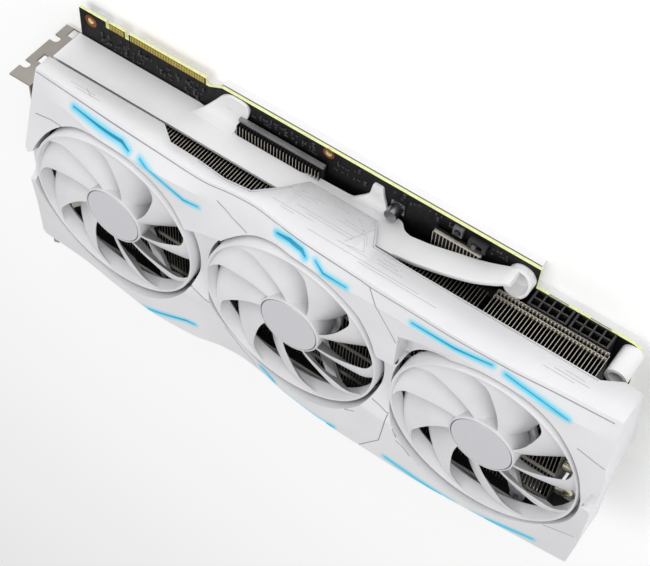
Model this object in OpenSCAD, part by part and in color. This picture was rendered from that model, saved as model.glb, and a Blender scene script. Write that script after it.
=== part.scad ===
// Graphics card with three fans, lying on its backplate with the fans facing up.
// Card coordinates: X runs from the bracket's outer face to the far end of the shroud, Y from the fans'
// centre line to the long edge with the power sockets, and Z up from the underside of the backplate.
// card_frame() moves them so that the origin is the bottom centre of the whole card's box.

/* [Card] */
// Length from the bracket's outer face to the far end of the shroud
card_len = 303.6; // [302:0.1:306]
// Distance from the fans' centre line to each long side of the shroud
shroud_half_w = 56; // [56:0.1:57]
// Thickness of the shroud's walls
shroud_wall = 2; // [1.8:0.1:2.4]

/* [Fans] */
// Distance between neighbouring fans
fan_pitch = 99.46; // [99.3:0.02:100]
// Distance from the bracket to the first fan's centre
fan_first_x = 51.8; // [51.4:0.1:52]
// Outer radius of the ring round the blades
ring_r = 46; // [45.4:0.1:46.4]
// Radius of each fan's hole in the shroud
fan_hole_r = 47.8; // [47.4:0.1:48]
// Radius of the hub
hub_r = 15; // [14.6:0.1:15.6]
// Number of blades on each fan
blade_count = 9; // [7:1:11]
// Height of the front of the hubs and rings
rotor_top_z = 49.8; // [49:0.1:50.4]

/* [Circuit board] */
// Thickness of the circuit board
board_t = 1.57; // [1.5:0.01:1.6]
// Height of the circuit board's component side
board_z = 6.1; // [6:0.1:6.2]
// Distance from the fans' centre line to the board's top edge
board_top_y = 68.4; // [68:0.1:69]
// Distance from the bracket to the board's far end
board_len = 290.2; // [289:0.1:291]

/* [Bracket] */
// Thickness of the bracket's sheet
bracket_t = 0.9; // [0.8:0.05:1.0]
// Depth of the flange that is screwed to the computer's case
flange_depth = 11.4; // [11.2:0.1:11.6]

/* [Heatsink] */
// Distance between neighbouring fins
fin_pitch = 3.4; // [3:0.1:4]
// Height of the fins' front edges
fin_top_z = 32; // [31:0.1:32.4]

/* [Hidden] */
$fn = 96;
$fa = 6;

// Colours
white = "#E9E9EB";
board_black = "#141416";
socket_black = "#0D0D0F";
steel_grey = "#9C9690";
gold = "#D9C25A";
copper = "#B4693C";
fin_grey = "#8B8B88";
light_cyan = "#35D4F0";

// The whole card's box, for the origin
tongue_tip_y = -73.2;
bridge_top_y = board_top_y + 0.3;
card_mid_x = (card_len - flange_depth) / 2;
card_mid_y = (bridge_top_y + tongue_tip_y) / 2;

// A small gap between pieces that touch
touch_gap = 0.02;

// Circuit board
board_back_z = board_z - board_t;
parts_z = board_z + touch_gap;
board_left_x = 1.8;
board_step_x = 241.2;
board_step_y = 56.1;
board_bottom_y = -53.85;
finger_bottom_y = -62.1;
edge_x0 = 44.55;
edge_key_x = [56.2, 58.1];
edge_x1 = 129.75;
contact_pitch = 1;
contact_w = 0.7;
contact_t = 0.05;
bridge_x0 = 19.1;
bridge_key_x = [28.1, 30.3];
bridge_x1 = 73.2;
bridge_recess_y = 64.9;
bridge_pitch = 0.9;
bridge_contact_w = 0.6;
ring_pads = [[8.3, 63.5], [138.2, 65.8]];

// Backplate
plate_t = 1.2;
rim_top_z = 3.7;
rim_w = 1.2;
standoff_points = [
    [12, 56], [12, -40], [60, 44], [60, -44], [168, 44], [168, -44], [228, 40], [228, -44], [284, 46], [281, -42]
];
screw_r = 1.08;

// Graphics processor and its cooler
gpu_x = 113;
gpu_half = 23;
gpu_die = [31, 25, 0.85];
substrate_t = 1.5;
chip_top_z = 7.2;
pad_top_z = 7.7;
cold_plate_z = parts_z + substrate_t + gpu_die[2] + 0.03;
cold_plate_half = 28;
cold_plate_top_z = 14.6;
clamp_screw_off = 25;
pipe_r = 3;
pipe_z = 14.7;
pipe_ys = [for (k = [-2.5 : 1 : 2.5]) k * 9.6];
pipe_x = [22, 278];
fin_t = 0.4;
fin_left_x = [19, 225];
fin_right_x = [229, 281];
memory_points = concat(
    [for (y = [-36, -12.5, 12.5, 36]) [74, y]],
    [for (y = [-36, -12.5, 12.5, 36]) [152, y]],
    [for (x = [95, 113, 131]) [x, 40]]
);
power_stage_points = [for (x = [199, 210], y = [-40 : 11 : 37]) [x, y]];
choke_points = [for (x = [182, 222], y = [-40 : 11 : 37]) [x, y]];

// Sockets
socket_w = 18;
socket_x = [241.9, 260.9];
socket_mouth_y = 56.3;
socket_depth = 13;
socket_h = 8.4;
socket_pitch = 4.2;

// Bracket
bracket_z = [1.9, 41];
flange_y = 46.3;
bracket_bottom_y = -61.8;
notch_zs = [11.98, 32.3];
port_centres = [35, 19, 0.5, -18, -36.5];
port_z = board_z + 3.3;

// Reinforcement frame
frame_y = 52;
frame_t = 1.5;
arm_start_x = 180;
arm_turn = 8.7;
boss_xy = [234.5, 59];
boss_r = 6.5;

// Fans
fan_xs = [for (i = [0 : 2]) fan_first_x + i * fan_pitch];
blade_phases = [28.5, 18, 32];
ring_t = 1.4;
ring_h = 8;
mount_z = [33.2, 35.2];
mount_arm_angles = [50, 290];
mount_rest_angle = 170;
mount_rest_r = 43;
mount_screw_r = 51.5;
collar_r = fan_hole_r + 1.5;
hub_bottom_z = 36.4;
badge_r = 13.6;
badge_t = 0.5;
shaft_r = 1;
bearing_r = 2.6;
bearing_z = [35.4, 43.6];
stator_r = 10.4;
magnet_r = [11.2, 12.6];

// Shroud: heights of its front face at each station along X, for each of the eight levels across Y
station_x = [-2, 27, 52, 76, 100, 114, 124, 138, 152, 176, 188, 206, 226, 251, 275, 308];
level_y = [-60, -52.4, -28, -7, 13, 34, 47.8, 58];
front_z = [
    [38.4, 48.2, 49.0, 50.8, 51.4, 44.2, 39.8, 36.8],
    [39.1, 49.1, 49.6, 51.0, 51.4, 46.8, 44.0, 37.4],
    [41.8, 51.8, 50.4, 51.2, 51.4, 48.5, 47.8, 38.0],
    [43.8, 53.8, 51.4, 51.2, 51.0, 48.2, 47.6, 39.5],
    [42.2, 52.2, 50.6, 50.6, 50.4, 47.9, 46.0, 41.4],
    [39.0, 49.0, 49.4, 50.4, 50.4, 47.3, 43.6, 40.0],
    [38.2, 48.2, 49.2, 50.4, 50.4, 47.2, 43.2, 39.2],
    [39.4, 49.4, 49.6, 50.8, 50.8, 47.8, 45.4, 40.5],
    [41.8, 51.8, 50.6, 51.2, 51.2, 48.5, 48.0, 41.4],
    [43.8, 53.8, 51.6, 51.2, 50.8, 48.3, 48.2, 43.0],
    [44.1, 54.1, 52.0, 51.0, 50.4, 48.0, 47.6, 43.8],
    [44.1, 54.1, 52.2, 51.0, 50.4, 48.0, 47.6, 44.4],
    [43.8, 53.8, 51.6, 51.2, 50.8, 48.2, 47.8, 44.9],
    [42.2, 52.2, 50.6, 51.2, 51.4, 48.5, 48.0, 43.6],
    [40.3, 50.3, 49.6, 51.2, 51.6, 48.8, 46.8, 40.8],
    [37.8, 47.6, 48.6, 50.8, 51.4, 48.0, 43.0, 38.6]
];
shroud_bottom_z = 16;
shroud_left_x = 2;
far_end_r = [[3.8, 56], [0.6, 33], [0, 6], [0.4, -30], [1.8, -54], [3, -56]];
neck_z = 45.3;

// Light strips: the middle lines of the strips along the two long sides
strip_w = 1.7;
top_strips = [
    [[27.3, 51.1], [57, 51.1], [62, 50.3]],
    [[68, 49.6], [92.5, 40.6], [100, 41.2]],
    [[139.2, 51], [146.3, 52.4], [153.5, 52.2], [156, 51.2]],
    [[161, 51.6], [166.6, 49.6], [178.3, 49.4]],
    [[208.4, 49.6], [228.6, 50], [245.5, 52]],
    [[252.4, 51.4], [281.9, 46.2]]
];
bottom_strips = [
    [[69, -52], [95.8, -42.6], [101, -42.2]],
    [[136.3, -50.2], [145.5, -52.4]],
    [[153, -51.4], [163, -51.8], [177, -50.4], [182.8, -48.8]],
    [[209, -51.8], [246, -52.4]],
    [[255, -52.2], [285, -47.2]]
];
guide_bottom_z = 39;
light_board_z = [35, 36.2];

// Switch and button on the board
switch_xy = [213.5, 64.6];
switch_travel = 2;
button_xy = [203.5, 65];

// Fan leads: each runs from a fan's mount to the headers, flat on the fins
lead_w = 2.4;
lead_t = 0.9;

module card_frame() translate([-card_mid_x, -card_mid_y, 0]) children();

module box(low, high) translate(low) cube(high - low);

module slab(z0, z1) translate([0, 0, z0]) linear_extrude(z1 - z0) children();

module post(xy, z0, z1, r) translate([xy[0], xy[1], z0]) cylinder(h = z1 - z0, r = r);

// A screw whose head is at z0 and whose tip is at z1, above or below it
module screw(xy, z0, z1, head_r, head_h, r) {
    up = z1 > z0 ? 1 : -1;
    translate([xy[0], xy[1], z0]) scale_z(up) difference() {
        union() {
            cylinder(h = head_h, r = head_r);
            cylinder(h = abs(z1 - z0), r = r);
        }
        translate([0, 0, -1]) for (turn = [0, 90]) rotate([0, 0, turn])
            translate([-head_r * 0.6, -head_r * 0.11, 0]) cube([head_r * 1.2, head_r * 0.22, 1 + head_h * 0.5]);
    }
}

module scale_z(up) if (up > 0) children(); else mirror([0, 0, 1]) children();

// ---------------------------------------------------------------- backplate

module backplate_outline(inset = 0) {
    i = inset;
    polygon([
        [4 + i, 60 - i], [8 + i, 64 - i], [78 + i, 64 - i], [81 + i, 68.1 - i], [240.4 - i, 68.1 - i],
        [240.4 - i, 54 - i], [286 - i, 54 - i], [289 - i, 50 - i], [289 - i, -44 + i], [284 - i, -49 + i],
        [12 + i, -49 + i], [4 + i, -42 + i]
    ]);
}

module backplate() color(white) card_frame() difference() {
    union() {
        slab(0, plate_t) backplate_outline();
        slab(plate_t, rim_top_z) difference() {
            backplate_outline();
            backplate_outline(rim_w);
        }
    }
    slab(-1, plate_t + 1) gpu_window();
    for (x = [250 : 7 : 278]) box([x, -30, -1], [x + 3, 30, plate_t + 1]);
    for (p = standoff_points) {
        post(p, -1, plate_t + 1, screw_r + 0.2);
        post(p, -1, plate_t - 0.3, 2.3);
    }
}

// Opening in the backplate behind the processor, with clipped corners
module gpu_window() translate([gpu_x, 0]) polygon([
    [-36, -28], [-28, -36], [28, -36], [36, -28], [36, 28], [28, 36], [-28, 36], [-36, 28]
]);

module standoffs() color("#B9B9BC") card_frame() for (p = standoff_points) difference() {
    post(p, plate_t, board_back_z, 2.5);
    post(p, 0, board_z, screw_r);
}

module backplate_screws() color("#77777A") card_frame() for (p = standoff_points)
    screw(p, 0.1, 4.2, 2.2, 0.8, screw_r - touch_gap);

// ---------------------------------------------------------------- circuit board

module board_outline() polygon([
    [board_left_x, board_bottom_y], [edge_x0 - 1, board_bottom_y], [edge_x0, board_bottom_y - 1],
    [edge_x0, finger_bottom_y + 1], [edge_x0 + 1, finger_bottom_y],
    [edge_key_x[0], finger_bottom_y], [edge_key_x[0], board_bottom_y], [edge_key_x[1], board_bottom_y],
    [edge_key_x[1], finger_bottom_y], [edge_x1 - 1, finger_bottom_y], [edge_x1, finger_bottom_y + 1],
    [edge_x1, board_bottom_y + 1], [edge_x1 + 3.5, board_bottom_y + 1], [edge_x1 + 3.5, finger_bottom_y + 4],
    [edge_x1 + 7, finger_bottom_y + 2], [edge_x1 + 9.5, finger_bottom_y + 4], [edge_x1 + 9.5, board_bottom_y],
    [board_len - 3, board_bottom_y], [board_len, board_bottom_y + 3],
    each [for (a = [0 : 15 : 90]) [board_len - 5 + 5 * cos(a), board_step_y - 5 + 5 * sin(a)]],
    [275.8, board_step_y], [275.8, 54.6], [266.1, 54.6], [266.1, board_step_y],
    [256.1, board_step_y], [256.1, 54.6], [247, 54.6], [247, board_step_y],
    [board_step_x, board_step_y], [board_step_x, board_top_y],
    [82, board_top_y], [bridge_x1 + 1.8, bridge_recess_y], [bridge_x1, bridge_recess_y],
    [bridge_x1, bridge_top_y], [bridge_key_x[1], bridge_top_y], [bridge_key_x[1], bridge_recess_y],
    [bridge_key_x[0], bridge_recess_y], [bridge_key_x[0], bridge_top_y], [bridge_x0, bridge_top_y],
    [bridge_x0, bridge_recess_y], [17.2, bridge_recess_y], [17.2, board_top_y], [board_left_x, board_top_y]
]);

module circuit_board() color(board_black) card_frame() difference() {
    slab(board_back_z, board_z) board_outline();
    for (p = ring_pads) post(p, 0, 10, 1.6);
    for (p = clamp_points()) post(p, 0, 10, 1.7);
    for (p = bracket_screw_points()) post(p, 0, 10, 1.3);
    for (p = frame_screw_points()) post(p, 0, 10, 1.3);
}

function clamp_points() = [for (sx = [-1, 1], sy = [-1, 1]) [gpu_x + sx * clamp_screw_off, sy * clamp_screw_off]];
function bracket_screw_points() = [[6, 43.3], [6, -49.5]];
function frame_screw_points() = [[87.5, 61.5], [164.3, 61], boss_xy];

// Gold contacts on both faces of the board's two edge connectors
module contact_rows(x_start, x_end, pitch, width, y0, y1, key_low, key_high) {
    count = floor((x_end - x_start) / pitch);
    for (k = [0 : count - 1]) {
        x = x_start + (k + 0.5) * pitch;
        clear = x + width / 2 < key_low || x - width / 2 > key_high;
        if (clear) for (z = [board_z, board_back_z - contact_t])
            box([x - width / 2, y0, z], [x + width / 2, y1, z + contact_t]);
    }
}

module edge_contacts() color(gold) card_frame()
    contact_rows(edge_x0 + 0.6, edge_x1 - 0.6, contact_pitch, contact_w,
        finger_bottom_y + 0.6, finger_bottom_y + 4.8, edge_key_x[0], edge_key_x[1]);

module bridge_contacts() color(gold) card_frame()
    contact_rows(bridge_x0 + 0.2, bridge_x1 - 0.2, bridge_pitch, bridge_contact_w,
        bridge_top_y - 3.6, bridge_top_y - 0.3, bridge_key_x[0], bridge_key_x[1]);

// ---------------------------------------------------------------- chips and power parts

module gpu_package() color("#2F4A33") card_frame() translate([gpu_x, 0, parts_z]) {
    translate([-gpu_half, -gpu_half, 0]) cube([2 * gpu_half, 2 * gpu_half, substrate_t]);
    translate([-gpu_die[0] / 2, -gpu_die[1] / 2, substrate_t]) cube(gpu_die);
}

module chip_row(points, size, z0, z1) for (p = points)
    box([p[0] - size[0] / 2, p[1] - size[1] / 2, z0], [p[0] + size[0] / 2, p[1] + size[1] / 2, z1]);

module memory_chips() color("#1B1B1D") card_frame() chip_row(memory_points, [12, 14], parts_z, chip_top_z);

module power_stages() color("#1B1B1D") card_frame() chip_row(power_stage_points, [5, 6], parts_z, chip_top_z);

module thermal_pads() color("#8FA3B5") card_frame() {
    chip_row(memory_points, [11, 13], chip_top_z, pad_top_z);
    chip_row(power_stage_points, [5, 7], chip_top_z, pad_top_z);
}

module chokes() color("#3A3B3E") card_frame() for (p = choke_points) {
    box([p[0] - 4, p[1] - 4, parts_z], [p[0] + 4, p[1] + 4, 10.6]);
}

capacitor_spots = [[174.5, 58.2, 13], [232, 30, 10.6], [232, 18, 10.6], [232, 6, 10.6], [232, -6, 10.6], [232, -18, 10.6]];

module capacitors() color("#A9A9AC") card_frame() for (c = capacitor_spots) {
    post(c, parts_z + 1, c[2], 3.1);
    box([c[0] - 3.3, c[1] - 3.3, parts_z], [c[0] + 3.3, c[1] + 3.3, parts_z + 1]);
}

module power_socket(i) color(socket_black) card_frame() translate([socket_x[i], socket_mouth_y, parts_z]) difference() {
    translate([0, -socket_depth, 0]) cube([socket_w, socket_depth, socket_h]);
    for (column = [0 : 3], row = [0, 1])
        translate([
            socket_w / 2 + (column - 1.5) * socket_pitch - 1.7, -socket_depth + 2,
            socket_h / 2 + (row - 0.5) * 4 - 1.65
        ]) cube([3.4, socket_depth, 3.3]);
}

module power_pins() color("#C9B46A") card_frame() for (i = [0, 1], column = [0 : 3], row = [0, 1])
    translate([
        socket_x[i] + socket_w / 2 + (column - 1.5) * socket_pitch - 0.6, socket_mouth_y - socket_depth + 2,
        parts_z + socket_h / 2 + (row - 0.5) * 4 - 0.6
    ]) cube([1.2, 8, 1.2]);

module fan_headers() color("#EDEDE8") card_frame() for (x = fan_xs) difference() {
    box([x + 4, -52, parts_z], [x + 16.4, -46.4, 11]);
    box([x + 5, -51, 8], [x + 15.4, -47.4, 12]);
}

// ---------------------------------------------------------------- bracket and its sockets

module hdmi_shape(grow = 0) translate([-7.5 - grow, -2.9 - grow]) polygon([
    [2, 0], [13 + 2 * grow, 0], [15 + 2 * grow, 2], [15 + 2 * grow, 5.8 + 2 * grow], [0, 5.8 + 2 * grow], [0, 2]
]);

module dp_shape(grow = 0) translate([-8.2 - grow, -2.9 - grow]) polygon([
    [0, 0], [16.4 + 2 * grow, 0], [16.4 + 2 * grow, 5.8 + 2 * grow], [2, 5.8 + 2 * grow], [0, 3.8 + 2 * grow]
]);

module usb_shape(grow = 0) translate([-4.5 - grow, -1.65 - grow]) square([9 + 2 * grow, 3.3 + 2 * grow]);

// A socket's outline, with its width along Y and its height along Z, extruded along X
module along_x(x0, x1, y, z) translate([x0, y, z]) rotate([90, 0, 90]) linear_extrude(x1 - x0) children();

module io_bracket() color(steel_grey) card_frame() difference() {
    union() {
        box([0, bracket_bottom_y, bracket_z[0]], [bracket_t, flange_y, bracket_z[1]]);
        box([-flange_depth, flange_y - bracket_t, bracket_z[0]], [bracket_t, flange_y, bracket_z[1]]);
        for (z = [10.6, 30.9]) along_x(0, bracket_t, bracket_bottom_y, z) polygon([
            [0.5, 0], [-8, 0], [-11.4, 2.5], [-11.4, 7.6], [-8, 10.1], [0.5, 10.1]
        ]);
        for (p = bracket_screw_points())
            box([bracket_t / 2, p[1] - 3, board_z + touch_gap], [p[0] + 3, p[1] + 3, board_z + touch_gap + bracket_t]);
    }
    for (z = notch_zs) {
        translate([-flange_depth + 2.2, 0, z]) rotate([-90, 0, 0]) cylinder(h = 60, r = 2);
        box([-20, 0, z - 2], [-flange_depth + 2.2, 60, z + 2]);
        box([-7, flange_y - 2, z - 9.8], [-3.4, flange_y + 1, z - 4.6]);
    }
    along_x(-1, 2, port_centres[0], port_z) usb_shape(0.4);
    for (k = [1, 2]) along_x(-1, 2, port_centres[k], port_z) dp_shape(0.4);
    for (k = [3, 4]) along_x(-1, 2, port_centres[k], port_z) hdmi_shape(0.4);
    for (y = [-54 : 6.4 : 35]) box([-1, y, 17], [2, y + 4, 38]);
    for (p = bracket_screw_points()) post(p, board_z - 1, board_z + 3, 1.3);
}

module bracket_screws() color("#88888B") card_frame() for (p = bracket_screw_points())
    screw(p, board_z + bracket_t + 2.4 * touch_gap + 1.4, board_z - 1.4, 2.4, 1.36, 1.2);

module display_ports() color("#B7B7B9") card_frame() for (k = [1, 2]) difference() {
    union() {
        along_x(-0.5, 1.6, port_centres[k], port_z) dp_shape();
        box([1.6, port_centres[k] - 8.6, parts_z], [17, port_centres[k] + 8.6, parts_z + 6.6]);
    }
    along_x(-1, 9, port_centres[k], port_z) scale([0.94, 0.84]) dp_shape();
}

module hdmi_ports() color("#B7B7B9") card_frame() for (k = [3, 4]) difference() {
    union() {
        along_x(-0.5, 1.6, port_centres[k], port_z) hdmi_shape();
        box([1.6, port_centres[k] - 7.9, parts_z], [14, port_centres[k] + 7.9, parts_z + 6.6]);
    }
    along_x(-1, 9, port_centres[k], port_z) scale([0.93, 0.84]) hdmi_shape();
}

module usb_c_port() color("#B7B7B9") card_frame() difference() {
    union() {
        along_x(-0.5, 1.6, port_centres[0], port_z) usb_shape();
        box([1.6, port_centres[0] - 5, parts_z], [11, port_centres[0] + 5, parts_z + 5.4]);
    }
    along_x(-1, 7, port_centres[0], port_z) scale([0.92, 0.8]) usb_shape();
}

// ---------------------------------------------------------------- cooler

module gpu_clamp() color("#6F7073") card_frame() difference() {
    slab(board_back_z - 1.2, board_back_z - touch_gap) translate([gpu_x, 0]) for (turn = [45, 135]) rotate(turn)
        translate([-39, -4.5]) square([78, 9]);
    for (p = clamp_points()) post(p, 0, 10, 1.5);
}

module clamp_springs() color("#B9B9BC") card_frame() for (p = clamp_points()) difference() {
    post(p, 1.65, board_back_z - 1.2 - touch_gap, 2.5);
    post(p, 1, 5, 1.6);
}

module clamp_screws() color("#88888B") card_frame() for (p = clamp_points())
    screw(p, 0.4, 11, 2.9, 1.2, 1.25);

module cold_plate() color("#C9CACC") card_frame() difference() {
    box([gpu_x - cold_plate_half, -cold_plate_half, cold_plate_z], [gpu_x + cold_plate_half, cold_plate_half, cold_plate_top_z]);
    pipe_bores(touch_gap);
    for (p = clamp_points()) post(p, cold_plate_z - 1, 11.2, 1.25 + touch_gap);
}

module pipe_bores(grow) for (y = pipe_ys)
    translate([-5, y, pipe_z]) rotate([0, 90, 0]) cylinder(h = 320, r = pipe_r + grow);

module heatpipes() color(copper) card_frame() for (y = pipe_ys) {
    translate([pipe_x[0], y, pipe_z]) rotate([0, 90, 0]) cylinder(h = pipe_x[1] - pipe_x[0], r = pipe_r);
    translate([pipe_x[0] - 2, y, pipe_z]) rotate([0, 90, 0]) cylinder(h = 2, r1 = 1.6, r2 = pipe_r);
    translate([pipe_x[1], y, pipe_z]) rotate([0, 90, 0]) cylinder(h = 2, r1 = pipe_r, r2 = 1.6);
}

// Fins are plates across the card, joined by the tabs folded from their edges
module fin_row(x_range, profile_high_y, low_z) {
    count = floor((x_range[1] - x_range[0]) / fin_pitch);
    for (k = [0 : count]) translate([x_range[0] + k * fin_pitch, 0, 0])
        rotate([90, 0, 90]) linear_extrude(fin_t) polygon([
            [-49.4, low_z], [42, low_z], [42, 14.8], [profile_high_y, 14.8],
            [profile_high_y, fin_top_z], [-49.4, fin_top_z]
        ]);
    span = count * fin_pitch + fin_t;
    for (y = [-48, -30, -10, 8, 28, profile_high_y - 3.6])
        box([x_range[0], y, fin_top_z - fin_t], [x_range[0] + span, y + 2.6, fin_top_z]);
    for (y = [-48, 39]) box([x_range[0], y, low_z], [x_range[0] + span, y + 2.6, low_z + fin_t]);
}

module fin_stack_left() color(fin_grey) card_frame() difference() {
    fin_row(fin_left_x, 49.6, 11.2);
    pipe_bores(touch_gap);
    box([gpu_x - 28.4, -28.4, 5], [gpu_x + 28.4, 28.4, cold_plate_top_z + 0.1]);
}

module fin_stack_right() color(fin_grey) card_frame() difference() {
    union() {
        fin_row(fin_right_x, 53.4, 11.2);
        for (z = [14.8, 17.6]) box([fin_right_x[0], 52.4, z], [fin_right_x[1] - 0.6, 55.4, z + 1.2]);
        for (k = [0 : floor((fin_right_x[1] - fin_right_x[0]) / fin_pitch)])
            box([fin_right_x[0] + k * fin_pitch, 53, 14.8], [fin_right_x[0] + k * fin_pitch + fin_t, 55.4, 27.6]);
    }
    pipe_bores(touch_gap);
}

module midplate() color("#9A9B9D") card_frame() difference() {
    union() {
        box([60, -45.5, pad_top_z], [167, 48, 9.2]);
        box([93.6, 47, pad_top_z], [138.2, 59.6, 9.1]);
    }
    box([gpu_x - 30, -30, 5], [gpu_x + 30, 30, 12]);
}

module vrm_heatsink() color(fin_grey) card_frame() {
    box([193, -46, pad_top_z], [216.4, 61.4, pad_top_z + 0.7]);
    for (k = [0 : 12]) box([193.4 + k * 1.85, -46, pad_top_z + 0.7], [193.9 + k * 1.85, 54, pad_top_z + 2.2]);
}

// ---------------------------------------------------------------- reinforcement frame

module frame_wall() translate([0, frame_y, 0]) rotate([90, 0, 0]) linear_extrude(frame_t) polygon([
    [0.95, 6.5], [70, 6.5], [74, 6.15], [91, 6.15], [92.5, 12], [129.5, 11.8], [132.5, 9.6], [153, 9],
    [157, 6.15], [178, 6.15], [181, 11.2], [181, 24.6], [125, 24.9], [0.95, 24.9]
]);

// The arm leaves the wall and turns out towards the boss
module frame_arm() translate([arm_start_x, frame_y, 0]) rotate([0, 0, arm_turn])
    rotate([90, 0, 0]) linear_extrude(frame_t) polygon([
        [0, 11.2], [5, 12.6], [22, 10.3], [39, 8.8], [50.6, 8.2], [50.6, 15], [48.6, 18.6], [42, 21],
        [25, 23.6], [7, 24.8], [0, 24.6]
    ]);

module frame_lugs() slab(6.15, 7.65) {
    polygon([
        [74, 50.5], [92.4, 50.5], [96.6, 60], [97, 65.4], [94, 67.8], [87, 67.8], [82, 64], [79, 59.6], [76, 54]
    ]);
    polygon([
        [157, 50.5], [178, 50.5], [177.4, 52.6], [167.3, 53.2], [167.1, 64], [165.5, 65], [162.8, 65],
        [161.4, 63.5], [159.5, 56], [157, 52]
    ]);
}

module reinforcement_frame() color(white) card_frame() difference() {
    union() {
        frame_wall();
        frame_arm();
        frame_lugs();
        post(boss_xy, 6.15, 10.6, boss_r);
    }
    post(boss_xy, 7.9, 12, boss_r - 1.3);
    for (p = frame_screw_points()) post(p, 0, 12, 1.3);
}

module frame_screws() color("#B9B9BC") card_frame() for (p = frame_screw_points()) {
    head_z = p == boss_xy ? 7.9 : 7.65;
    screw(p, head_z + 1.5, board_back_z + 0.2, 2.4, 1.48, 1.2);
}

// ---------------------------------------------------------------- shroud

function station_points(s, drop) = concat(
    [[station_x[s], level_y[0], shroud_bottom_z - 2]],
    [for (k = [0 : len(level_y) - 1]) [station_x[s], level_y[k], front_z[s][k] - drop]],
    [[station_x[s], level_y[len(level_y) - 1], shroud_bottom_z - 2]]
);

// Solid under the faceted front face
module front_loft(drop = 0) {
    ring = len(level_y) + 2;
    last = len(station_x) - 1;
    points = [for (s = [0 : last]) each station_points(s, drop)];
    cap = [for (k = [ring - 1 : -1 : 0]) k];
    sides = [for (s = [0 : last - 1], k = [0 : ring - 1]) let (
        a = s * ring + k, b = s * ring + (k + 1) % ring, c = a + ring, d = b + ring
    ) each [[a, d, c], [a, b, d]]];
    polyhedron(points, concat([cap], sides, [[for (k = [0 : ring - 1]) last * ring + k]]), convexity = 8);
}

module plan_outline(inset = 0) {
    i = inset;
    polygon(concat(
        [[shroud_left_x + i, shroud_half_w - i], [shroud_left_x + i, -50], [shroud_left_x + 4 + i, -shroud_half_w + i],
            [186 - i, -shroud_half_w + i], [188 - i, -shroud_half_w + 2.2 + i], [192.5 + i, -shroud_half_w + 2.2 + i],
            [194.5 + i, -shroud_half_w + i]],
        [for (k = [len(far_end_r) - 1 : -1 : 0]) [
            card_len - far_end_r[k][0] - i, abs(far_end_r[k][1]) > 55 ? far_end_r[k][1] * (shroud_half_w - i) / 56 : far_end_r[k][1]
        ]]
    ));
}

// The face drops where neighbouring fans nearly meet, and opens at the two ends
module neck_cuts(grow, drop) {
    g = grow;
    for (i = [0, 1]) {
        mid = fan_xs[i] + fan_pitch / 2;
        high_y = (i == 0 ? 27 : 19) + g;
        translate([mid - 14 - g, 0, -drop]) rotate([90, 0, 90]) linear_extrude(28 + 2 * g)
            polygon([[high_y, 70], [high_y - 1, neck_z], [-9 - g, neck_z], [-23 - g, 52], [-23 - g, 70]]);
    }
    translate([shroud_left_x - 3, 0, -drop]) rotate([90, 0, 90]) linear_extrude(8 + g)
        polygon([[12.5 + g, 70], [12.5 + g, 43], [-6 - g, 43], [-6 - g, 70]]);
}

// Solid bounded by the face and the side walls, lowered by drop and with its sides moved in by inset
module shroud_solid(drop = 0, inset = 0) difference() {
    intersection() {
        front_loft(drop);
        slab(0, 70) plan_outline(inset);
    }
    neck_cuts(inset, drop);
}

// Everything below the edges of the four side walls
module edge_cuts() {
    translate([0, 70, 0]) rotate([90, 0, 0]) linear_extrude(24) polygon([
        [-5, 0], [-5, 28.8], [68, 28.8], [76.5, 35.6], [92, 36], [107, 37.2], [119.5, 35.6], [127.5, 27.4],
        [136.5, 16.6], [171, 16.6], [177.5, 28.6], [283.5, 28.6], [291, 23.6], [320, 23.6], [320, 0]
    ]);
    box([-5, -70, 0], [320, -46, 22]);
    box([-5, -70, 0], [shroud_left_x + 3, 60, 28.8]);
    translate([card_len - 10, 0, 0]) rotate([90, 0, 90]) linear_extrude(20) polygon([
        [60, 0], [60, 23.6], [30, 22], [19, 27], [10, 31.6], [0, 34], [-34, 30], [-45, 36], [-51, 41], [-70, 41], [-70, 0]
    ]);
}

module strip_shapes(strips, width) for (line = strips, k = [0 : len(line) - 2]) {
    run = line[k + 1] - line[k];
    translate(line[k]) rotate(atan2(run[1], run[0])) translate([-width / 4, -width / 2])
        square([norm(run) + width / 2, width]);
}

module mount_screw_points(i) for (a = mount_arm_angles)
    translate([fan_xs[i] + mount_screw_r * cos(a), mount_screw_r * sin(a), 0]) children();

// The face with its side walls, hollow underneath
module shroud_shell() difference() {
    shroud_solid();
    shroud_solid(shroud_wall + 0.3, shroud_wall);
}

// Collars round the fans' holes and posts for the fans' screws, both ending inside the face
module shroud_collars() intersection() {
    for (i = [0 : 2]) {
        translate([fan_xs[i], 0, mount_z[1]]) cylinder(h = 20, r = collar_r);
        mount_screw_points(i) translate([0, 0, mount_z[1]]) cylinder(h = 20, r = 2.4);
    }
    shroud_solid(0.8, 0.8);
}

module shroud() color(white) card_frame() difference() {
    union() {
        shroud_shell();
        shroud_collars();
    }
    edge_cuts();
    for (i = [0 : 2]) {
        translate([fan_xs[i], 0, 0]) cylinder(h = 80, r = fan_hole_r);
        mount_screw_points(i) translate([0, 0, mount_z[1] - 1]) cylinder(h = 6, r = 1);
    }
    slab(30, 70) strip_shapes(top_strips, strip_w + 2 * touch_gap);
    slab(30, 70) strip_shapes(bottom_strips, strip_w + 2 * touch_gap);
}

module light_guide(strips) color(light_cyan, 0.9) card_frame() intersection() {
    shroud_solid(0.1);
    slab(guide_bottom_z, 70) strip_shapes(strips, strip_w);
}

module light_guide_top() light_guide(top_strips);

module light_guide_bottom() light_guide(bottom_strips);

module light_boards() color("#E8EDEA") card_frame() for (side = [-1, 1], span = [[20, 96], [122, 184], [208, 290]])
    box([span[0], side > 0 ? 52.1 : -53.95, light_board_z[0]], [span[1], side > 0 ? 53.95 : -52.1, light_board_z[1]]);

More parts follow.
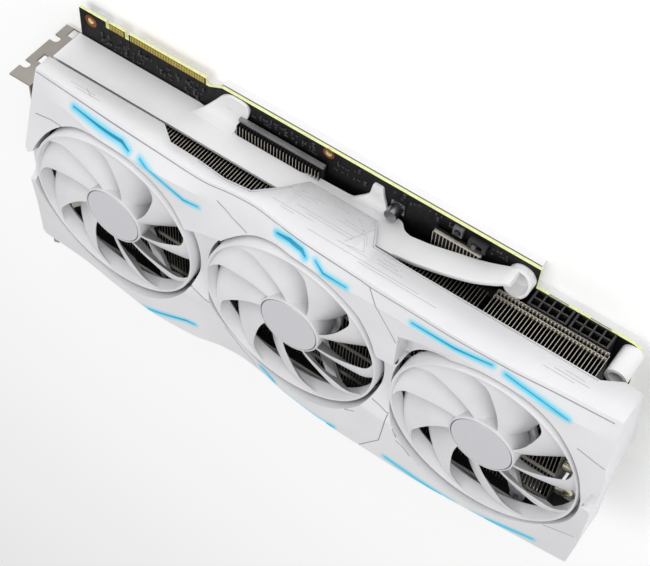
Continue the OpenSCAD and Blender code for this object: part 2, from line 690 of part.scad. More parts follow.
module corner_posts() color(white) card_frame() for (p = [[287, 50.4], [287, -48.4]]) difference() {
    post(p, parts_z, 20.6, 4.9);
    post(p, 9, 30, 3.3);
    post(p, 0, 10, 1.3);
}

// ---------------------------------------------------------------- fans

// Flat plate of a fan mount: a disc with two arms that are screwed to the shroud and one that rests on the fins
module mount_plate() difference() {
    union() {
        circle(r = 18);
        for (a = mount_arm_angles) rotate(a) {
            translate([0, -3]) square([mount_screw_r, 6]);
            translate([mount_screw_r, 0]) circle(r = 3.6);
        }
        rotate(mount_rest_angle) translate([0, -3]) square([mount_rest_r, 6]);
    }
    for (a = mount_arm_angles) rotate(a) translate([mount_screw_r, 0]) circle(r = 1.2);
}

module fan_mount(i) color(white) card_frame() translate([fan_xs[i], 0, 0]) difference() {
    union() {
        slab(mount_z[0], mount_z[1]) mount_plate();
        translate([0, 0, mount_z[0] + 0.6]) cylinder(h = bearing_z[1] - mount_z[0] - 0.6, r = 4);
        rotate([0, 0, mount_rest_angle]) translate([mount_rest_r - 3, 0, fin_top_z + touch_gap])
            cylinder(h = mount_z[0] - fin_top_z + 0.6, r = 2.4);
    }
    translate([0, 0, bearing_z[0]]) cylinder(h = 20, r = bearing_r);
    for (a = mount_arm_angles) rotate([0, 0, a]) translate([mount_screw_r, 0, mount_z[0] - 1]) cylinder(h = 1.8, r = 2.1);
}

module fan_stators() color(copper) card_frame() for (x = fan_xs) translate([x, 0, 36.8]) difference() {
    union() {
        cylinder(h = 6, r = 6);
        for (a = [0 : 60 : 300]) rotate([0, 0, a]) {
            translate([4, -1.2, 0]) cube([5.4, 2.4, 6]);
            intersection() {
                difference() {
                    cylinder(h = 6, r = stator_r);
                    translate([0, 0, -1]) cylinder(h = 8, r = 9);
                }
                translate([6, -4, 0]) cube([6, 8, 6]);
            }
        }
    }
    translate([0, 0, -1]) cylinder(h = 8, r = 4 + touch_gap);
}

module fan_bearings() color("#A58A54") card_frame() for (x = fan_xs) translate([x, 0, bearing_z[0]]) difference() {
    cylinder(h = bearing_z[1] - bearing_z[0], r = bearing_r - touch_gap / 2);
    translate([0, 0, 0.8]) cylinder(h = 20, r = shaft_r + 0.03);
}

module fan_screws() color("#88888B") card_frame() for (i = [0 : 2]) mount_screw_points(i)
    screw([0, 0], mount_z[0] + 0.05, mount_z[0] + 5.3, 1.9, 0.7, 0.95);

// Each lead leaves its fan's mount, crosses the fins to their edge and runs down into its header
module fan_leads() color("#17171A") card_frame() for (i = [0 : 2]) {
    x = fan_xs[i] + 9;
    box([x, -50.9, fin_top_z + 0.05], [x + lead_w, -12, fin_top_z + 0.05 + lead_t]);
    box([x, -50.9, 8.5], [x + lead_w, -50, fin_top_z + 0.05 + lead_t]);
}

function blade_angle(r, s) = 26 * (r - 16) / 29 - (38 - 4 * (r - 16) / 29) * (1 - s);
function blade_z(r, s) = 38.4 + (rotor_top_z - 0.9 - 38.4) * (s + 0.12 * sin(180 * s)) - (s > 0.5 ? (r - 15) * 0.01 : 0);

// One blade: a thin curved sheet between the hub and the ring, rising towards its front edge
module blade() {
    rows = 7;
    columns = 6;
    radii = [for (i = [0 : rows]) hub_r - 0.7 + (ring_r - ring_t + 0.7 - hub_r + 0.7) * i / rows];
    shares = [for (j = [0 : columns]) j / columns];
    sheet = [for (side = [0, 1], r = radii, s = shares) let (
        half = (0.35 + 0.35 * sin(180 * s)) * (side == 0 ? 1 : -1), a = blade_angle(r, s)
    ) [r * cos(a), r * sin(a), blade_z(r, s) + half]];
    wide = columns + 1;
    total = (rows + 1) * wide;
    top = [for (i = [0 : rows - 1], j = [0 : columns - 1]) let (a = i * wide + j)
        each [[a, a + 1, a + wide + 1], [a, a + wide + 1, a + wide]]];
    under = [for (f = top) [f[2] + total, f[1] + total, f[0] + total]];
    rim = concat(
        [for (j = [0 : columns - 1]) [j, j + 1]],
        [for (i = [0 : rows - 1]) [i * wide + columns, (i + 1) * wide + columns]],
        [for (j = [columns : -1 : 1]) [rows * wide + j, rows * wide + j - 1]],
        [for (i = [rows : -1 : 1]) [i * wide, (i - 1) * wide]]
    );
    sides = [for (e = rim) each [[e[1], e[0], e[0] + total], [e[1], e[0] + total, e[1] + total]]];
    polyhedron(sheet, concat(top, under, sides), convexity = 6);
}

module fan_impeller(i) color(white) card_frame() translate([fan_xs[i], 0, 0]) difference() {
    union() {
        translate([0, 0, hub_bottom_z]) cylinder(h = rotor_top_z - hub_bottom_z, r = hub_r);
        for (k = [0 : blade_count - 1]) rotate([0, 0, blade_phases[i] + k * 360 / blade_count]) blade();
        translate([0, 0, rotor_top_z - ring_h]) difference() {
            cylinder(h = ring_h, r = ring_r);
            translate([0, 0, -1]) cylinder(h = ring_h + 2, r = ring_r - ring_t);
        }
    }
    translate([0, 0, hub_bottom_z - 1]) cylinder(h = 10.6, r = magnet_r[1]);
    translate([0, 0, rotor_top_z - badge_t]) cylinder(h = 2, r = badge_r + 0.1);
    translate([0, 0, 40]) cylinder(h = 8, r = shaft_r);
}

module fan_badge(i) color("#D3D2D8") card_frame()
    translate([fan_xs[i], 0, rotor_top_z - badge_t]) cylinder(h = badge_t, r = badge_r);

module fan_shaft(i) color("#C4C4C6") card_frame()
    translate([fan_xs[i], 0, bearing_z[0] + 1]) cylinder(h = 48 - bearing_z[0] - 1, r = shaft_r);

module fan_magnet(i) color("#4A4A4D") card_frame() translate([fan_xs[i], 0, 37]) difference() {
    cylinder(h = 6.4, r = magnet_r[1] - touch_gap / 2);
    translate([0, 0, -1]) cylinder(h = 9, r = magnet_r[0]);
}

// ---------------------------------------------------------------- switch and button

module bios_switch_housing() color(socket_black) card_frame() translate([switch_xy[0], switch_xy[1], parts_z]) difference() {
    translate([-4.2, -1.9, 0]) cube([8.4, 3.8, 3.4]);
    translate([-2.4, -1.1, 1.2]) cube([4.8, 2.2, 4]);
}

module bios_switch_slider() color("#E4E4E0") card_frame()
    translate([switch_xy[0] - 1.9, switch_xy[1] - 0.75, parts_z + 1.5]) cube([1.8, 1.5, 3.1]);

module led_button_housing() color("#C2C2C4") card_frame() translate([button_xy[0], button_xy[1], parts_z]) difference() {
    translate([-2.3, -2.3, 0]) cube([4.6, 4.6, 2]);
    translate([0, 0, 0.8]) cylinder(h = 4, r = 1.6);
}

module led_button_cap() color("#2A2A2C") card_frame()
    translate([button_xy[0], button_xy[1], parts_z + 1.3]) cylinder(h = 1.6, r = 1.2);

backplate();
standoffs();
backplate_screws();
circuit_board();
edge_contacts();
bridge_contacts();
gpu_package();
memory_chips();
thermal_pads();
power_stages();
chokes();
capacitors();
for (i = [0, 1]) power_socket(i);
power_pins();
fan_headers();
io_bracket();
bracket_screws();
hdmi_ports();
display_ports();
usb_c_port();
gpu_clamp();
clamp_springs();
clamp_screws();
cold_plate();
heatpipes();
fin_stack_left();
fin_stack_right();
midplate();
vrm_heatsink();
reinforcement_frame();
frame_screws();
shroud();
light_guide_top();
light_guide_bottom();
light_boards();
corner_posts();
for (i = [0 : 2]) fan_mount(i);
fan_stators();
fan_bearings();
fan_screws();
fan_leads();
for (i = [0 : 2]) fan_impeller(i);
for (i = [0 : 2]) fan_badge(i);
for (i = [0 : 2]) fan_shaft(i);
for (i = [0 : 2]) fan_magnet(i);
bios_switch_housing();
bios_switch_slider();
led_button_housing();
led_button_cap();
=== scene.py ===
"""Looks of a graphics card with three fans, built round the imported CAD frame.

Lengths in this file are millimetres in card coordinates, as in the part's own source: X runs from the bracket's
outer face to the far end, Y from the fans' centre line to the edge with the power sockets, Z up from the underside
of the backplate. at() turns them into metres in the shared frame.
"""

import math
import random

import bmesh
import bpy
from mathutils import Matrix, Vector, geometry


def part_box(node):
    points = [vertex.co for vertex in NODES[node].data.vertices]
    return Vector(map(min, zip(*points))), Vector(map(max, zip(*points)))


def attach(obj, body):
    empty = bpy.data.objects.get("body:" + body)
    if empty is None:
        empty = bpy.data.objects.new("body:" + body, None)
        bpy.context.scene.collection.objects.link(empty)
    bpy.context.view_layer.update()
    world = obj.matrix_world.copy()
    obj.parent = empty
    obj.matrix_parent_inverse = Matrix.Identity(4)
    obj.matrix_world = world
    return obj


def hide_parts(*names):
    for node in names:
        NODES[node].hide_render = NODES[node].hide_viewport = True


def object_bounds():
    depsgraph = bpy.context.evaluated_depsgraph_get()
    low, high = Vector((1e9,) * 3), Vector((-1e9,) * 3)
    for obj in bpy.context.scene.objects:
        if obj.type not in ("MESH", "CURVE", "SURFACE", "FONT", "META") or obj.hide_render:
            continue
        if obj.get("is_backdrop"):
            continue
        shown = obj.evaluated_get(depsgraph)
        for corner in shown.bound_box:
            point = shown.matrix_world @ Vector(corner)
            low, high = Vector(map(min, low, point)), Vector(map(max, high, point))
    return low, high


MM = 0.001

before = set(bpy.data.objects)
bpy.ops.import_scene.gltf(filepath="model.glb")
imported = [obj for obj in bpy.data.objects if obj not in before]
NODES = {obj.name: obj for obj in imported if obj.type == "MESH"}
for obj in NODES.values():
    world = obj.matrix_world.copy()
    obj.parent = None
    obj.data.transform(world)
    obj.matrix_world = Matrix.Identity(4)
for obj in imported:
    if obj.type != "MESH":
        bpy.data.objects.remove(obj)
cad_low, cad_high = (Vector(corner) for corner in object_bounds())

# ---- places, from the frame

FLANGE_X = -11.4
MID_X = FLANGE_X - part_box("io_bracket")[0].x / MM
FAN_AXES = []
for i in (1, 2, 3):
    low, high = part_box(f"fan_{i}_shaft")
    FAN_AXES.append(((low.x + high.x) / 2 / MM + MID_X, (low.y + high.y) / 2 / MM))
MID_Y = -FAN_AXES[0][1]
FANS = [(x, 0.0) for x, _ in FAN_AXES]
ROTOR_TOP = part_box("fan_1_badge")[1].z / MM
BOARD_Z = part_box("circuit_board")[1].z / MM


def at(x, y, z):
    """Point of the shared frame, in metres, from card coordinates in millimetres."""
    return Vector(((x - MID_X) * MM, (y - MID_Y) * MM, z * MM))


def card_box(name):
    """Lowest and highest corner of a node's box, in card coordinates."""
    low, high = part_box(name)
    return [(p.x / MM + MID_X, p.y / MM + MID_Y, p.z / MM) for p in (low, high)]


# ---- materials


def colour(value):
    """Linear colour from a 24-bit one, or a linear colour as it is."""
    if isinstance(value, tuple):
        return value
    parts = [((value >> shift) & 255) / 255 for shift in (16, 8, 0)]
    return tuple(p / 12.92 if p <= 0.04045 else ((p + 0.055) / 1.055) ** 2.4 for p in parts) + (1.0,)


def put(node, socket, value):
    node.inputs[socket].default_value = value


def link(source, target):
    target.id_data.links.new(source, target)


def new_material(name):
    material = bpy.data.materials.new(name)
    material.use_nodes = True
    tree = material.node_tree
    tree.nodes.clear()
    output = tree.nodes.new("ShaderNodeOutputMaterial")
    shader = tree.nodes.new("ShaderNodeBsdfPrincipled")
    link(shader.outputs[0], output.inputs[0])
    return material, tree, shader


def noise_node(tree, scale, detail=3.0, stretch=(1, 1, 1)):
    coords = tree.nodes.new("ShaderNodeTexCoord")
    mapping = tree.nodes.new("ShaderNodeMapping")
    put(mapping, "Scale", stretch)
    noise = tree.nodes.new("ShaderNodeTexNoise")
    put(noise, "Scale", scale)
    put(noise, "Detail", detail)
    link(coords.outputs["Object"], mapping.inputs[0])
    link(mapping.outputs[0], noise.inputs["Vector"])
    return noise.outputs["Fac"]


def ramp(tree, source, stops):
    node = tree.nodes.new("ShaderNodeValToRGB")
    elements = node.color_ramp.elements
    for k, (place, value) in enumerate(stops):
        element = elements[k] if k < 2 else elements.new(place)
        element.position = place
        element.color = value if isinstance(value, tuple) else (value, value, value, 1)
    link(source, node.inputs[0])
    return node.outputs[0]


def mix_colours(tree, share, first, second):
    """Mix of two colours, each a socket or a colour, by a share."""
    mix = tree.nodes.new("ShaderNodeMix")
    mix.data_type = "RGBA"
    link(share, mix.inputs[0])
    for socket, source in ((mix.inputs[6], first), (mix.inputs[7], second)):
        if isinstance(source, tuple):
            socket.default_value = source
        else:
            link(source, socket)
    return mix.outputs[2]


def add_bump(tree, shader, source, strength, distance):
    bump = tree.nodes.new("ShaderNodeBump")
    put(bump, "Strength", strength)
    put(bump, "Distance", distance)
    link(source, bump.inputs["Height"])
    link(bump.outputs[0], shader.inputs["Normal"])
    return bump


def finish(name, dark, light, rough, metallic=0.0, grain=(900, 0.15, 0.00002), blotch=60, stretch=(1, 1, 1)):
    """A finish whose colour and roughness drift slowly, with a fine grain in its bump."""
    material, tree, shader = new_material(name)
    dark, light = colour(dark), colour(light)
    put(shader, "Metallic", metallic)
    drift = noise_node(tree, blotch, 2.0, stretch)
    link(ramp(tree, drift, [(0.3, dark), (0.7, light)]), shader.inputs["Base Color"])
    fine = noise_node(tree, grain[0], 4.0, stretch)
    link(ramp(tree, fine, [(0.2, rough[0]), (0.8, rough[1])]), shader.inputs["Roughness"])
    add_bump(tree, shader, fine, grain[1], grain[2])
    return material


def lit_material(name, tint, strength):
    """A diffuser lit from behind, brighter on some stretches than on others."""
    material, tree, shader = new_material(name)
    put(shader, "Roughness", 0.35)
    drift = noise_node(tree, 45, 1.0)
    lit = ramp(tree, drift, [(0.25, colour(tint[0])), (0.7, colour(tint[1]))])
    unlit = ramp(tree, drift, [(0.25, colour(0x003040)), (0.7, colour(0x00384A))])
    link(unlit, shader.inputs["Base Color"])
    link(lit, shader.inputs["Emission Color"])
    put(shader, "Emission Strength", strength)
    return material


def principled(material):
    return next(node for node in material.node_tree.nodes if node.type == "BSDF_PRINCIPLED")


def add_halo(material, tint, strength):
    """Light spilling from the strips into the white plastic beside them, by the vertices' own glow value."""
    tree = material.node_tree
    shader = principled(material)
    base = shader.inputs["Base Color"].links[0].from_socket
    glow = tree.nodes.new("ShaderNodeAttribute")
    glow.attribute_name = "glow"
    link(mix_colours(tree, glow.outputs["Fac"], base, tint), shader.inputs["Base Color"])
    link(ramp(tree, glow.outputs["Fac"], [(0, 0.0), (1, tint)]), shader.inputs["Emission Color"])
    put(shader, "Emission Strength", strength)


def board_material(name, face, edge):
    """Solder mask on the faces, with faint tracks, and the bare pale laminate on the cut edges."""
    material, tree, shader = new_material(name)
    surface = tree.nodes.new("ShaderNodeNewGeometry")
    split = tree.nodes.new("ShaderNodeSeparateXYZ")
    link(surface.outputs["Normal"], split.inputs[0])
    size = tree.nodes.new("ShaderNodeMath")
    size.operation = "ABSOLUTE"
    link(split.outputs["Z"], size.inputs[0])
    flat = ramp(tree, size.outputs[0], [(0.45, 0.0), (0.55, 1.0)])
    coords = tree.nodes.new("ShaderNodeTexCoord")
    tracks = tree.nodes.new("ShaderNodeTexVoronoi")
    tracks.distance = "CHEBYCHEV"
    tracks.feature = "F1"
    put(tracks, "Scale", 420)
    link(coords.outputs["Object"], tracks.inputs["Vector"])
    mask = ramp(tree, tracks.outputs["Distance"], [(0.35, face[0]), (0.6, face[1])])
    weave = ramp(tree, noise_node(tree, 700, 2.0), [(0.3, edge[0]), (0.7, edge[1])])
    link(mix_colours(tree, flat, weave, mask), shader.inputs["Base Color"])
    link(ramp(tree, noise_node(tree, 300), [(0.3, 0.5), (0.7, 0.62)]), shader.inputs["Roughness"])
    put(shader, "Specular IOR Level", 0.3)
    add_bump(tree, shader, tracks.outputs["Distance"], 0.2, 0.00002)
    return material


def disc_material(name):
    """A disc with rings of fine circular brushing about its own middle."""
    material, tree, shader = new_material(name)
    put(shader, "Metallic", 0.25)
    coords = tree.nodes.new("ShaderNodeTexCoord")
    length = tree.nodes.new("ShaderNodeVectorMath")
    length.operation = "LENGTH"
    link(coords.outputs["Object"], length.inputs[0])
    rings = tree.nodes.new("ShaderNodeTexNoise")
    rings.noise_dimensions = "1D"
    put(rings, "Scale", 4200)
    put(rings, "Detail", 2)
    link(length.outputs["Value"], rings.inputs["W"])
    brushed = ramp(tree, rings.outputs["Fac"], [(0.3, colour(0xDCDCE1)), (0.7, colour(0xE9E9ED))])
    link(brushed, shader.inputs["Base Color"])
    link(ramp(tree, rings.outputs["Fac"], [(0.3, 0.3), (0.7, 0.45)]), shader.inputs["Roughness"])
    add_bump(tree, shader, rings.outputs["Fac"], 0.15, 0.00003)
    return material


# A finish: name, darker and lighter colour, range of roughness, metallic, grain's scale, strength and depth, blotches
WHITE = finish("white_moulding", 0xE9E9EB, 0xEEEEF0, (0.36, 0.46), grain=(1500, 0.08, 0.00002))
ROTOR = finish("rotor_moulding", 0xE6E6E8, 0xEDEDEF, (0.38, 0.5), grain=(1200, 0.1, 0.00002))
PAINT = finish("white_paint", 0xEDEDEE, 0xF2F2F3, (0.3, 0.4), grain=(1800, 0.12, 0.00002))
# painted shade: the grey strips of the engraved lines and under the raised plate's edge stand in for the shade in the
# grooves and under the edge
ENGRAVED_SHADE = finish("engraved_line_shade", 0xAEAEB4, 0xBCBCC2, (0.5, 0.6))
SEAM = finish("seam_shadow", 0xA4A4AA, 0xB0B0B6, (0.6, 0.7))
STEEL = finish("bracket_nickel", 0x9C9690, 0xB0AAA3, (0.34, 0.5), 0.75, (700, 0.2, 0.00003), 40, (1, 6, 1))
BRIGHT = finish("bright_plate", 0xB9B9BC, 0xCFCFD2, (0.25, 0.35), 0.9)
SCREW = finish("screw_steel", 0x7C7C80, 0x98989C, (0.3, 0.42), 0.9)
GOLD = finish("contact_gold", 0xD9BE55, 0xE8D070, (0.2, 0.32), 0.9, blotch=500)
COPPER = finish("bare_copper", 0x9A5030, 0xB8683E, (0.3, 0.45), 0.8, blotch=500)
CHIP = finish("chip_resin", 0x1B1B1D, 0x262628, (0.45, 0.6))
SOCKET = finish("socket_nylon", 0x101012, 0x1C1C1F, (0.4, 0.55))
SOCKET_EDGE = finish("socket_rib", 0x3A3A40, 0x4A4A50, (0.4, 0.5))
FIN = finish("fin_plate", 0x161514, 0x201F1E, (0.5, 0.65), 0.4, (500, 0.2, 0.00003), 120)
FIN_TIP = finish("fin_tab", 0xB9B2A6, 0xD2CBBE, (0.3, 0.45), 0.6, blotch=900)
CAST = finish("cast_plate", 0x1C1C1E, 0x2A2A2C, (0.5, 0.65), 0.3)
MILLED = finish("milled_edge", 0x8E8E90, 0xA6A6A8, (0.35, 0.5), 0.6)
FERRITE = finish("choke_ferrite", 0x33302D, 0x403C38, (0.5, 0.7))
PAD = finish("thermal_pad", 0x7F93A5, 0x94A7B8, (0.7, 0.85))
IVORY = finish("header_nylon", 0xE6E6DE, 0xF0F0E8, (0.45, 0.6))
CABLE = finish("cable_jacket", 0x161618, 0x222225, (0.5, 0.7))
SUBSTRATE = finish("package_laminate", 0x27402C, 0x31503A, (0.4, 0.55))
BRONZE = finish("bearing_bronze", 0x8F7444, 0xA88A55, (0.35, 0.5), 0.8)
MAGNET = finish("magnet_ferrite", 0x46464A, 0x56565A, (0.5, 0.7))
GLOW = lit_material("light_guide", (0x0B8FB8, 0x18A6CC), 0.75)
add_halo(WHITE, colour(0x58CCEA), 0.12)
CAN = finish("can_top", 0x8E8E92, 0xA2A2A6, (0.2, 0.3), 1.0)
TIN = finish("tinned_end", 0x5C5C60, 0x74747A, (0.35, 0.5), 0.5, blotch=900)
NICKEL = finish("pipe_nickel", 0xC8BFA6, 0xE4DCC6, (0.2, 0.35), 0.85)
INSIDE = finish("shroud_inside", 0x232325, 0x2C2C2F, (0.6, 0.75))
BOARD = board_material("solder_mask", (colour(0x060607), colour(0x0B0B0D)), (colour(0xE2E5A0), colour(0xF0F3BE)))
DISC = disc_material("hub_disc")
RING_SHADE = finish("disc_groove_shade", 0x66666C, 0x74747A, (0.6, 0.7))

# Finish of each CAD node
NODE_FINISH = {
    name: look
    for look, names in (
        (PAINT, "backplate reinforcement_frame frame_screws corner_posts"),
        (WHITE, "shroud fan_1_mount fan_2_mount fan_3_mount"),
        (ROTOR, "fan_1_impeller fan_2_impeller fan_3_impeller"),
        (DISC, "fan_1_badge fan_2_badge fan_3_badge"),
        (BRIGHT, "standoffs hdmi_ports display_ports usb_c_port clamp_springs cold_plate"),
        (BRIGHT, "fan_1_shaft fan_2_shaft fan_3_shaft"),
        (MAGNET, "fan_1_magnet fan_2_magnet fan_3_magnet"),
        (SCREW, "backplate_screws bracket_screws clamp_screws fan_screws"),
        (BOARD, "circuit_board"),
        (GOLD, "edge_contacts bridge_contacts power_pins"),
        (SUBSTRATE, "gpu_package"),
        (CHIP, "memory_chips power_stages led_button_cap"),
        (PAD, "thermal_pads"),
        (FERRITE, "chokes"),
        (CAN, "capacitors"),
        (SOCKET, "power_socket_1 power_socket_2 bios_switch_housing"),
        (IVORY, "fan_headers light_boards"),
        (STEEL, "io_bracket gpu_clamp"),
        (COPPER, "heatpipes fan_stators"),
        (FIN, "fin_stack_left fin_stack_right vrm_heatsink"),
        (CAST, "midplate"),
        (GLOW, "light_guide_top light_guide_bottom"),
        (BRONZE, "fan_bearings"),
        (CABLE, "fan_leads"),
        (TIN, "bios_switch_slider led_button_housing"),
    )
    for name in names.split()
}

# CAD nodes whose sharp edges are eased, with the width of the easing
EASED = {
    "backplate": 0.25, "io_bracket": 0.2, "power_socket_1": 0.2, "power_socket_2": 0.2, "corner_posts": 0.3,
    "fan_headers": 0.2, "chokes": 0.5, "memory_chips": 0.15, "hdmi_ports": 0.15, "display_ports": 0.15,
    "usb_c_port": 0.15, "capacitors": 0.35, "midplate": 0.3, "bios_switch_housing": 0.15,
}


def ease(piece, width, angle=40, segments=2):
    bevel = piece.modifiers.new("eased", "BEVEL")
    bevel.width = width * MM
    bevel.segments = segments
    bevel.limit_method = "ANGLE"
    bevel.angle_limit = math.radians(angle)
    return bevel


for name, piece in NODES.items():
    piece.data.materials.clear()
    piece.data.materials.append(NODE_FINISH[name])
    if name in EASED:
        ease(piece, EASED[name])

# ---- mesh helpers


WELD = 0.002
NO_LENGTH = 0.0005


def add_piece(name, mesh, materials, replaces=(), smooth=35, body="card"):
    """A finished mesh as a visible piece, smooth where its faces meet at less than an angle."""
    bmesh.ops.remove_doubles(mesh, verts=mesh.verts, dist=WELD * MM)
    bmesh.ops.dissolve_degenerate(mesh, edges=mesh.edges, dist=NO_LENGTH * MM)
    data = bpy.data.meshes.new(name)
    mesh.to_mesh(data)
    mesh.free()
    for material in materials:
        data.materials.append(material)
    piece = bpy.data.objects.new(name, data)
    bpy.context.scene.collection.objects.link(piece)
    if smooth:
        data.shade_smooth()
        data.set_sharp_from_angle(angle=math.radians(smooth))
    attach(piece, body)
    if replaces:
        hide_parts(*replaces)
    return piece


def add_box(mesh, low, high, material=0):
    xs, ys, zs = zip(low, high)
    corners = [mesh.verts.new(at(x, y, z)) for z in zs for y in ys for x in xs]
    for side in ((0, 2, 3, 1), (4, 5, 7, 6), (0, 1, 5, 4), (2, 6, 7, 3), (0, 4, 6, 2), (1, 3, 7, 5)):
        mesh.faces.new([corners[k] for k in side]).material_index = material


def add_between(mesh, low, high):
    """Solid between two loops of points, counterclockwise as seen from the second one."""
    low, high = ([mesh.verts.new(p) for p in loop] for loop in (low, high))
    mesh.faces.new(low[::-1])
    mesh.faces.new(high)
    for k in range(len(low)):
        j = (k + 1) % len(low)
        mesh.faces.new([low[k], low[j], high[j], high[k]])


def add_wall(mesh, outline, y0, y1):
    """Plate in the XZ plane from the greater to the smaller of two values of Y."""
    add_between(mesh, *([at(x, y, z) for x, z in outline] for y in (y0, y1)))


def add_lathe(mesh, centre, profile, segments=96, material=0):
    """Solid turned about an upright axis, from a closed profile of radius and height."""
    rings = []
    for k in range(segments):
        a = 2 * math.pi * k / segments
        rings.append([
            mesh.verts.new(at(centre[0] + r * math.cos(a), centre[1] + r * math.sin(a), z)) for r, z in profile
        ])
    for k in range(segments):
        one, two = rings[k], rings[(k + 1) % segments]
        for j in range(len(profile)):
            n = (j + 1) % len(profile)
            mesh.faces.new([one[j], two[j], two[n], one[n]]).material_index = material


def add_closed_rings(mesh, rings):
    """Faces between neighbouring rings of points, each ring closed on itself."""
    for one, two in zip(rings, rings[1:]):
        for k in range(len(one)):
            n = (k + 1) % len(one)
            mesh.faces.new([one[k], one[n], two[n], two[k]])


def add_sheet(mesh, top, under):
    """A sheet between an upper and a lower grid of points, closed all round."""
    rows, columns = len(top) - 1, len(top[0]) - 1
    for i in range(rows):
        for j in range(columns):
            mesh.faces.new([top[i][j], top[i + 1][j], top[i + 1][j + 1], top[i][j + 1]])
            mesh.faces.new([under[i][j], under[i][j + 1], under[i + 1][j + 1], under[i + 1][j]])
        mesh.faces.new([top[i][0], under[i][0], under[i + 1][0], top[i + 1][0]])
        mesh.faces.new([top[i][-1], top[i + 1][-1], under[i + 1][-1], under[i][-1]])
    for j in range(columns):
        mesh.faces.new([top[0][j], top[0][j + 1], under[0][j + 1], under[0][j]])
        mesh.faces.new([top[-1][j], under[-1][j], under[-1][j + 1], top[-1][j + 1]])


def rounded(outline, radius, steps=5):
    """The outline with each corner rounded by an arc."""
    result = []
    count = len(outline)
    for k in range(count):
        before, corner, after = (Vector(outline[(k + d) % count]) for d in (-1, 0, 1))
        r = radius[k] if isinstance(radius, (list, tuple)) else radius
        u, v = (before - corner), (after - corner)
        reach = min(r, u.length * 0.45, v.length * 0.45)
        start, end = corner + u.normalized() * reach, corner + v.normalized() * reach
        for s in range(steps + 1):
            t = s / steps
            point = start * (1 - t) ** 2 + corner * 2 * t * (1 - t) + end * t ** 2
            result.append((point.x, point.y))
    return result


# ---- shroud

HALF_W = 56
LEFT_X, RIGHT_X = 2.0, 303.6
HOLE_R = 47.8
HOLE_SEGMENTS = 144
COLLAR_Z = 39.5
SHELL_T = 1.5
# Height of the face at each station along X and, across it, at each level of Y
STATIONS = (-2, 27, 52, 76, 100, 114, 124, 138, 152, 176, 188, 206, 226, 251, 275, 308)
LEVELS = (-58, -52.4, -28, -7, 13, 34, 47.8, 56)
FACE_Z = (
    (40.4, 48.2, 49.0, 50.8, 51.4, 44.2, 39.8, 37.4),
    (42.1, 49.1, 49.6, 51.0, 51.4, 46.8, 44.0, 38.7),
    (44.8, 51.8, 50.4, 51.2, 51.4, 48.5, 47.8, 39.8),
    (46.8, 53.8, 51.4, 51.2, 51.0, 48.2, 47.6, 41.0),
    (45.2, 52.2, 50.6, 50.6, 50.4, 47.9, 46.0, 42.3),
    (42.0, 49.0, 49.4, 50.4, 50.4, 47.3, 43.6, 40.6),
    (41.2, 48.2, 49.2, 50.4, 50.4, 47.2, 43.2, 40.0),
    (42.4, 49.4, 49.6, 50.8, 50.8, 47.8, 45.4, 41.4),
    (44.8, 51.8, 50.6, 51.2, 51.2, 48.5, 48.0, 42.7),
    (46.8, 53.8, 51.6, 51.2, 50.8, 48.3, 48.2, 44.0),
    (47.1, 54.1, 52.0, 51.0, 50.4, 48.0, 47.6, 44.6),
    (47.1, 54.1, 52.2, 51.0, 50.4, 48.0, 47.6, 45.0),
    (46.8, 53.8, 51.6, 51.2, 50.8, 48.2, 47.8, 45.5),
    (45.2, 52.2, 50.6, 51.2, 51.4, 48.5, 48.0, 44.4),
    (43.3, 50.3, 49.6, 51.2, 51.6, 48.8, 46.8, 42.0),
    (40.8, 47.6, 48.6, 50.8, 51.4, 48.0, 43.4, 39.8),
)
NECK_Z = 45.3


def slopes(xs, zs):
    """Slopes at the stations for a curve that doesn't overshoot."""
    rises = [(zs[k + 1] - zs[k]) / (xs[k + 1] - xs[k]) for k in range(len(xs) - 1)]
    result = [rises[0]]
    for one, two in zip(rises, rises[1:]):
        result.append(0.0 if one * two <= 0 else 2 * one * two / (one + two))
    return result + [rises[-1]]


LEVEL_CURVES = []
for level in range(len(LEVELS)):
    heights = [row[level] for row in FACE_Z]
    LEVEL_CURVES.append((heights, slopes(STATIONS, heights)))


def level_height(level, x):
    heights, slants = LEVEL_CURVES[level]
    k = max(j for j in range(len(STATIONS) - 1) if STATIONS[j] <= x or j == 0)
    span = STATIONS[k + 1] - STATIONS[k]
    t = (x - STATIONS[k]) / span
    return (
        (2 * t**3 - 3 * t**2 + 1) * heights[k] + (t**3 - 2 * t**2 + t) * span * slants[k]
        + (3 * t**2 - 2 * t**3) * heights[k + 1] + (t**3 - t**2) * span * slants[k + 1]
    )


def loft_height(x, y):
    k = max(j for j in range(len(LEVELS) - 1) if LEVELS[j] <= y or j == 0)
    t = (y - LEVELS[k]) / (LEVELS[k + 1] - LEVELS[k])
    return level_height(k, x) * (1 - t) + level_height(k + 1, x) * t


def point_to_line(p, a, b):
    run = (b[0] - a[0], b[1] - a[1])
    t = ((p[0] - a[0]) * run[0] + (p[1] - a[1]) * run[1]) / (run[0] ** 2 + run[1] ** 2)
    t = min(1, max(0, t))
    return math.hypot(p[0] - a[0] - t * run[0], p[1] - a[1] - t * run[1])


def inside(p, outline):
    hit = False
    for k, a in enumerate(outline):
        b = outline[k - 1]
        if (a[1] > p[1]) != (b[1] > p[1]) and p[0] < (b[0] - a[0]) * (p[1] - a[1]) / (b[1] - a[1]) + a[0]:
            hit = not hit
    return hit


def depth_inside(p, outline):
    if not inside(p, outline):
        return 0.0
    return min(point_to_line(p, outline[k - 1], outline[k]) for k in range(len(outline)))


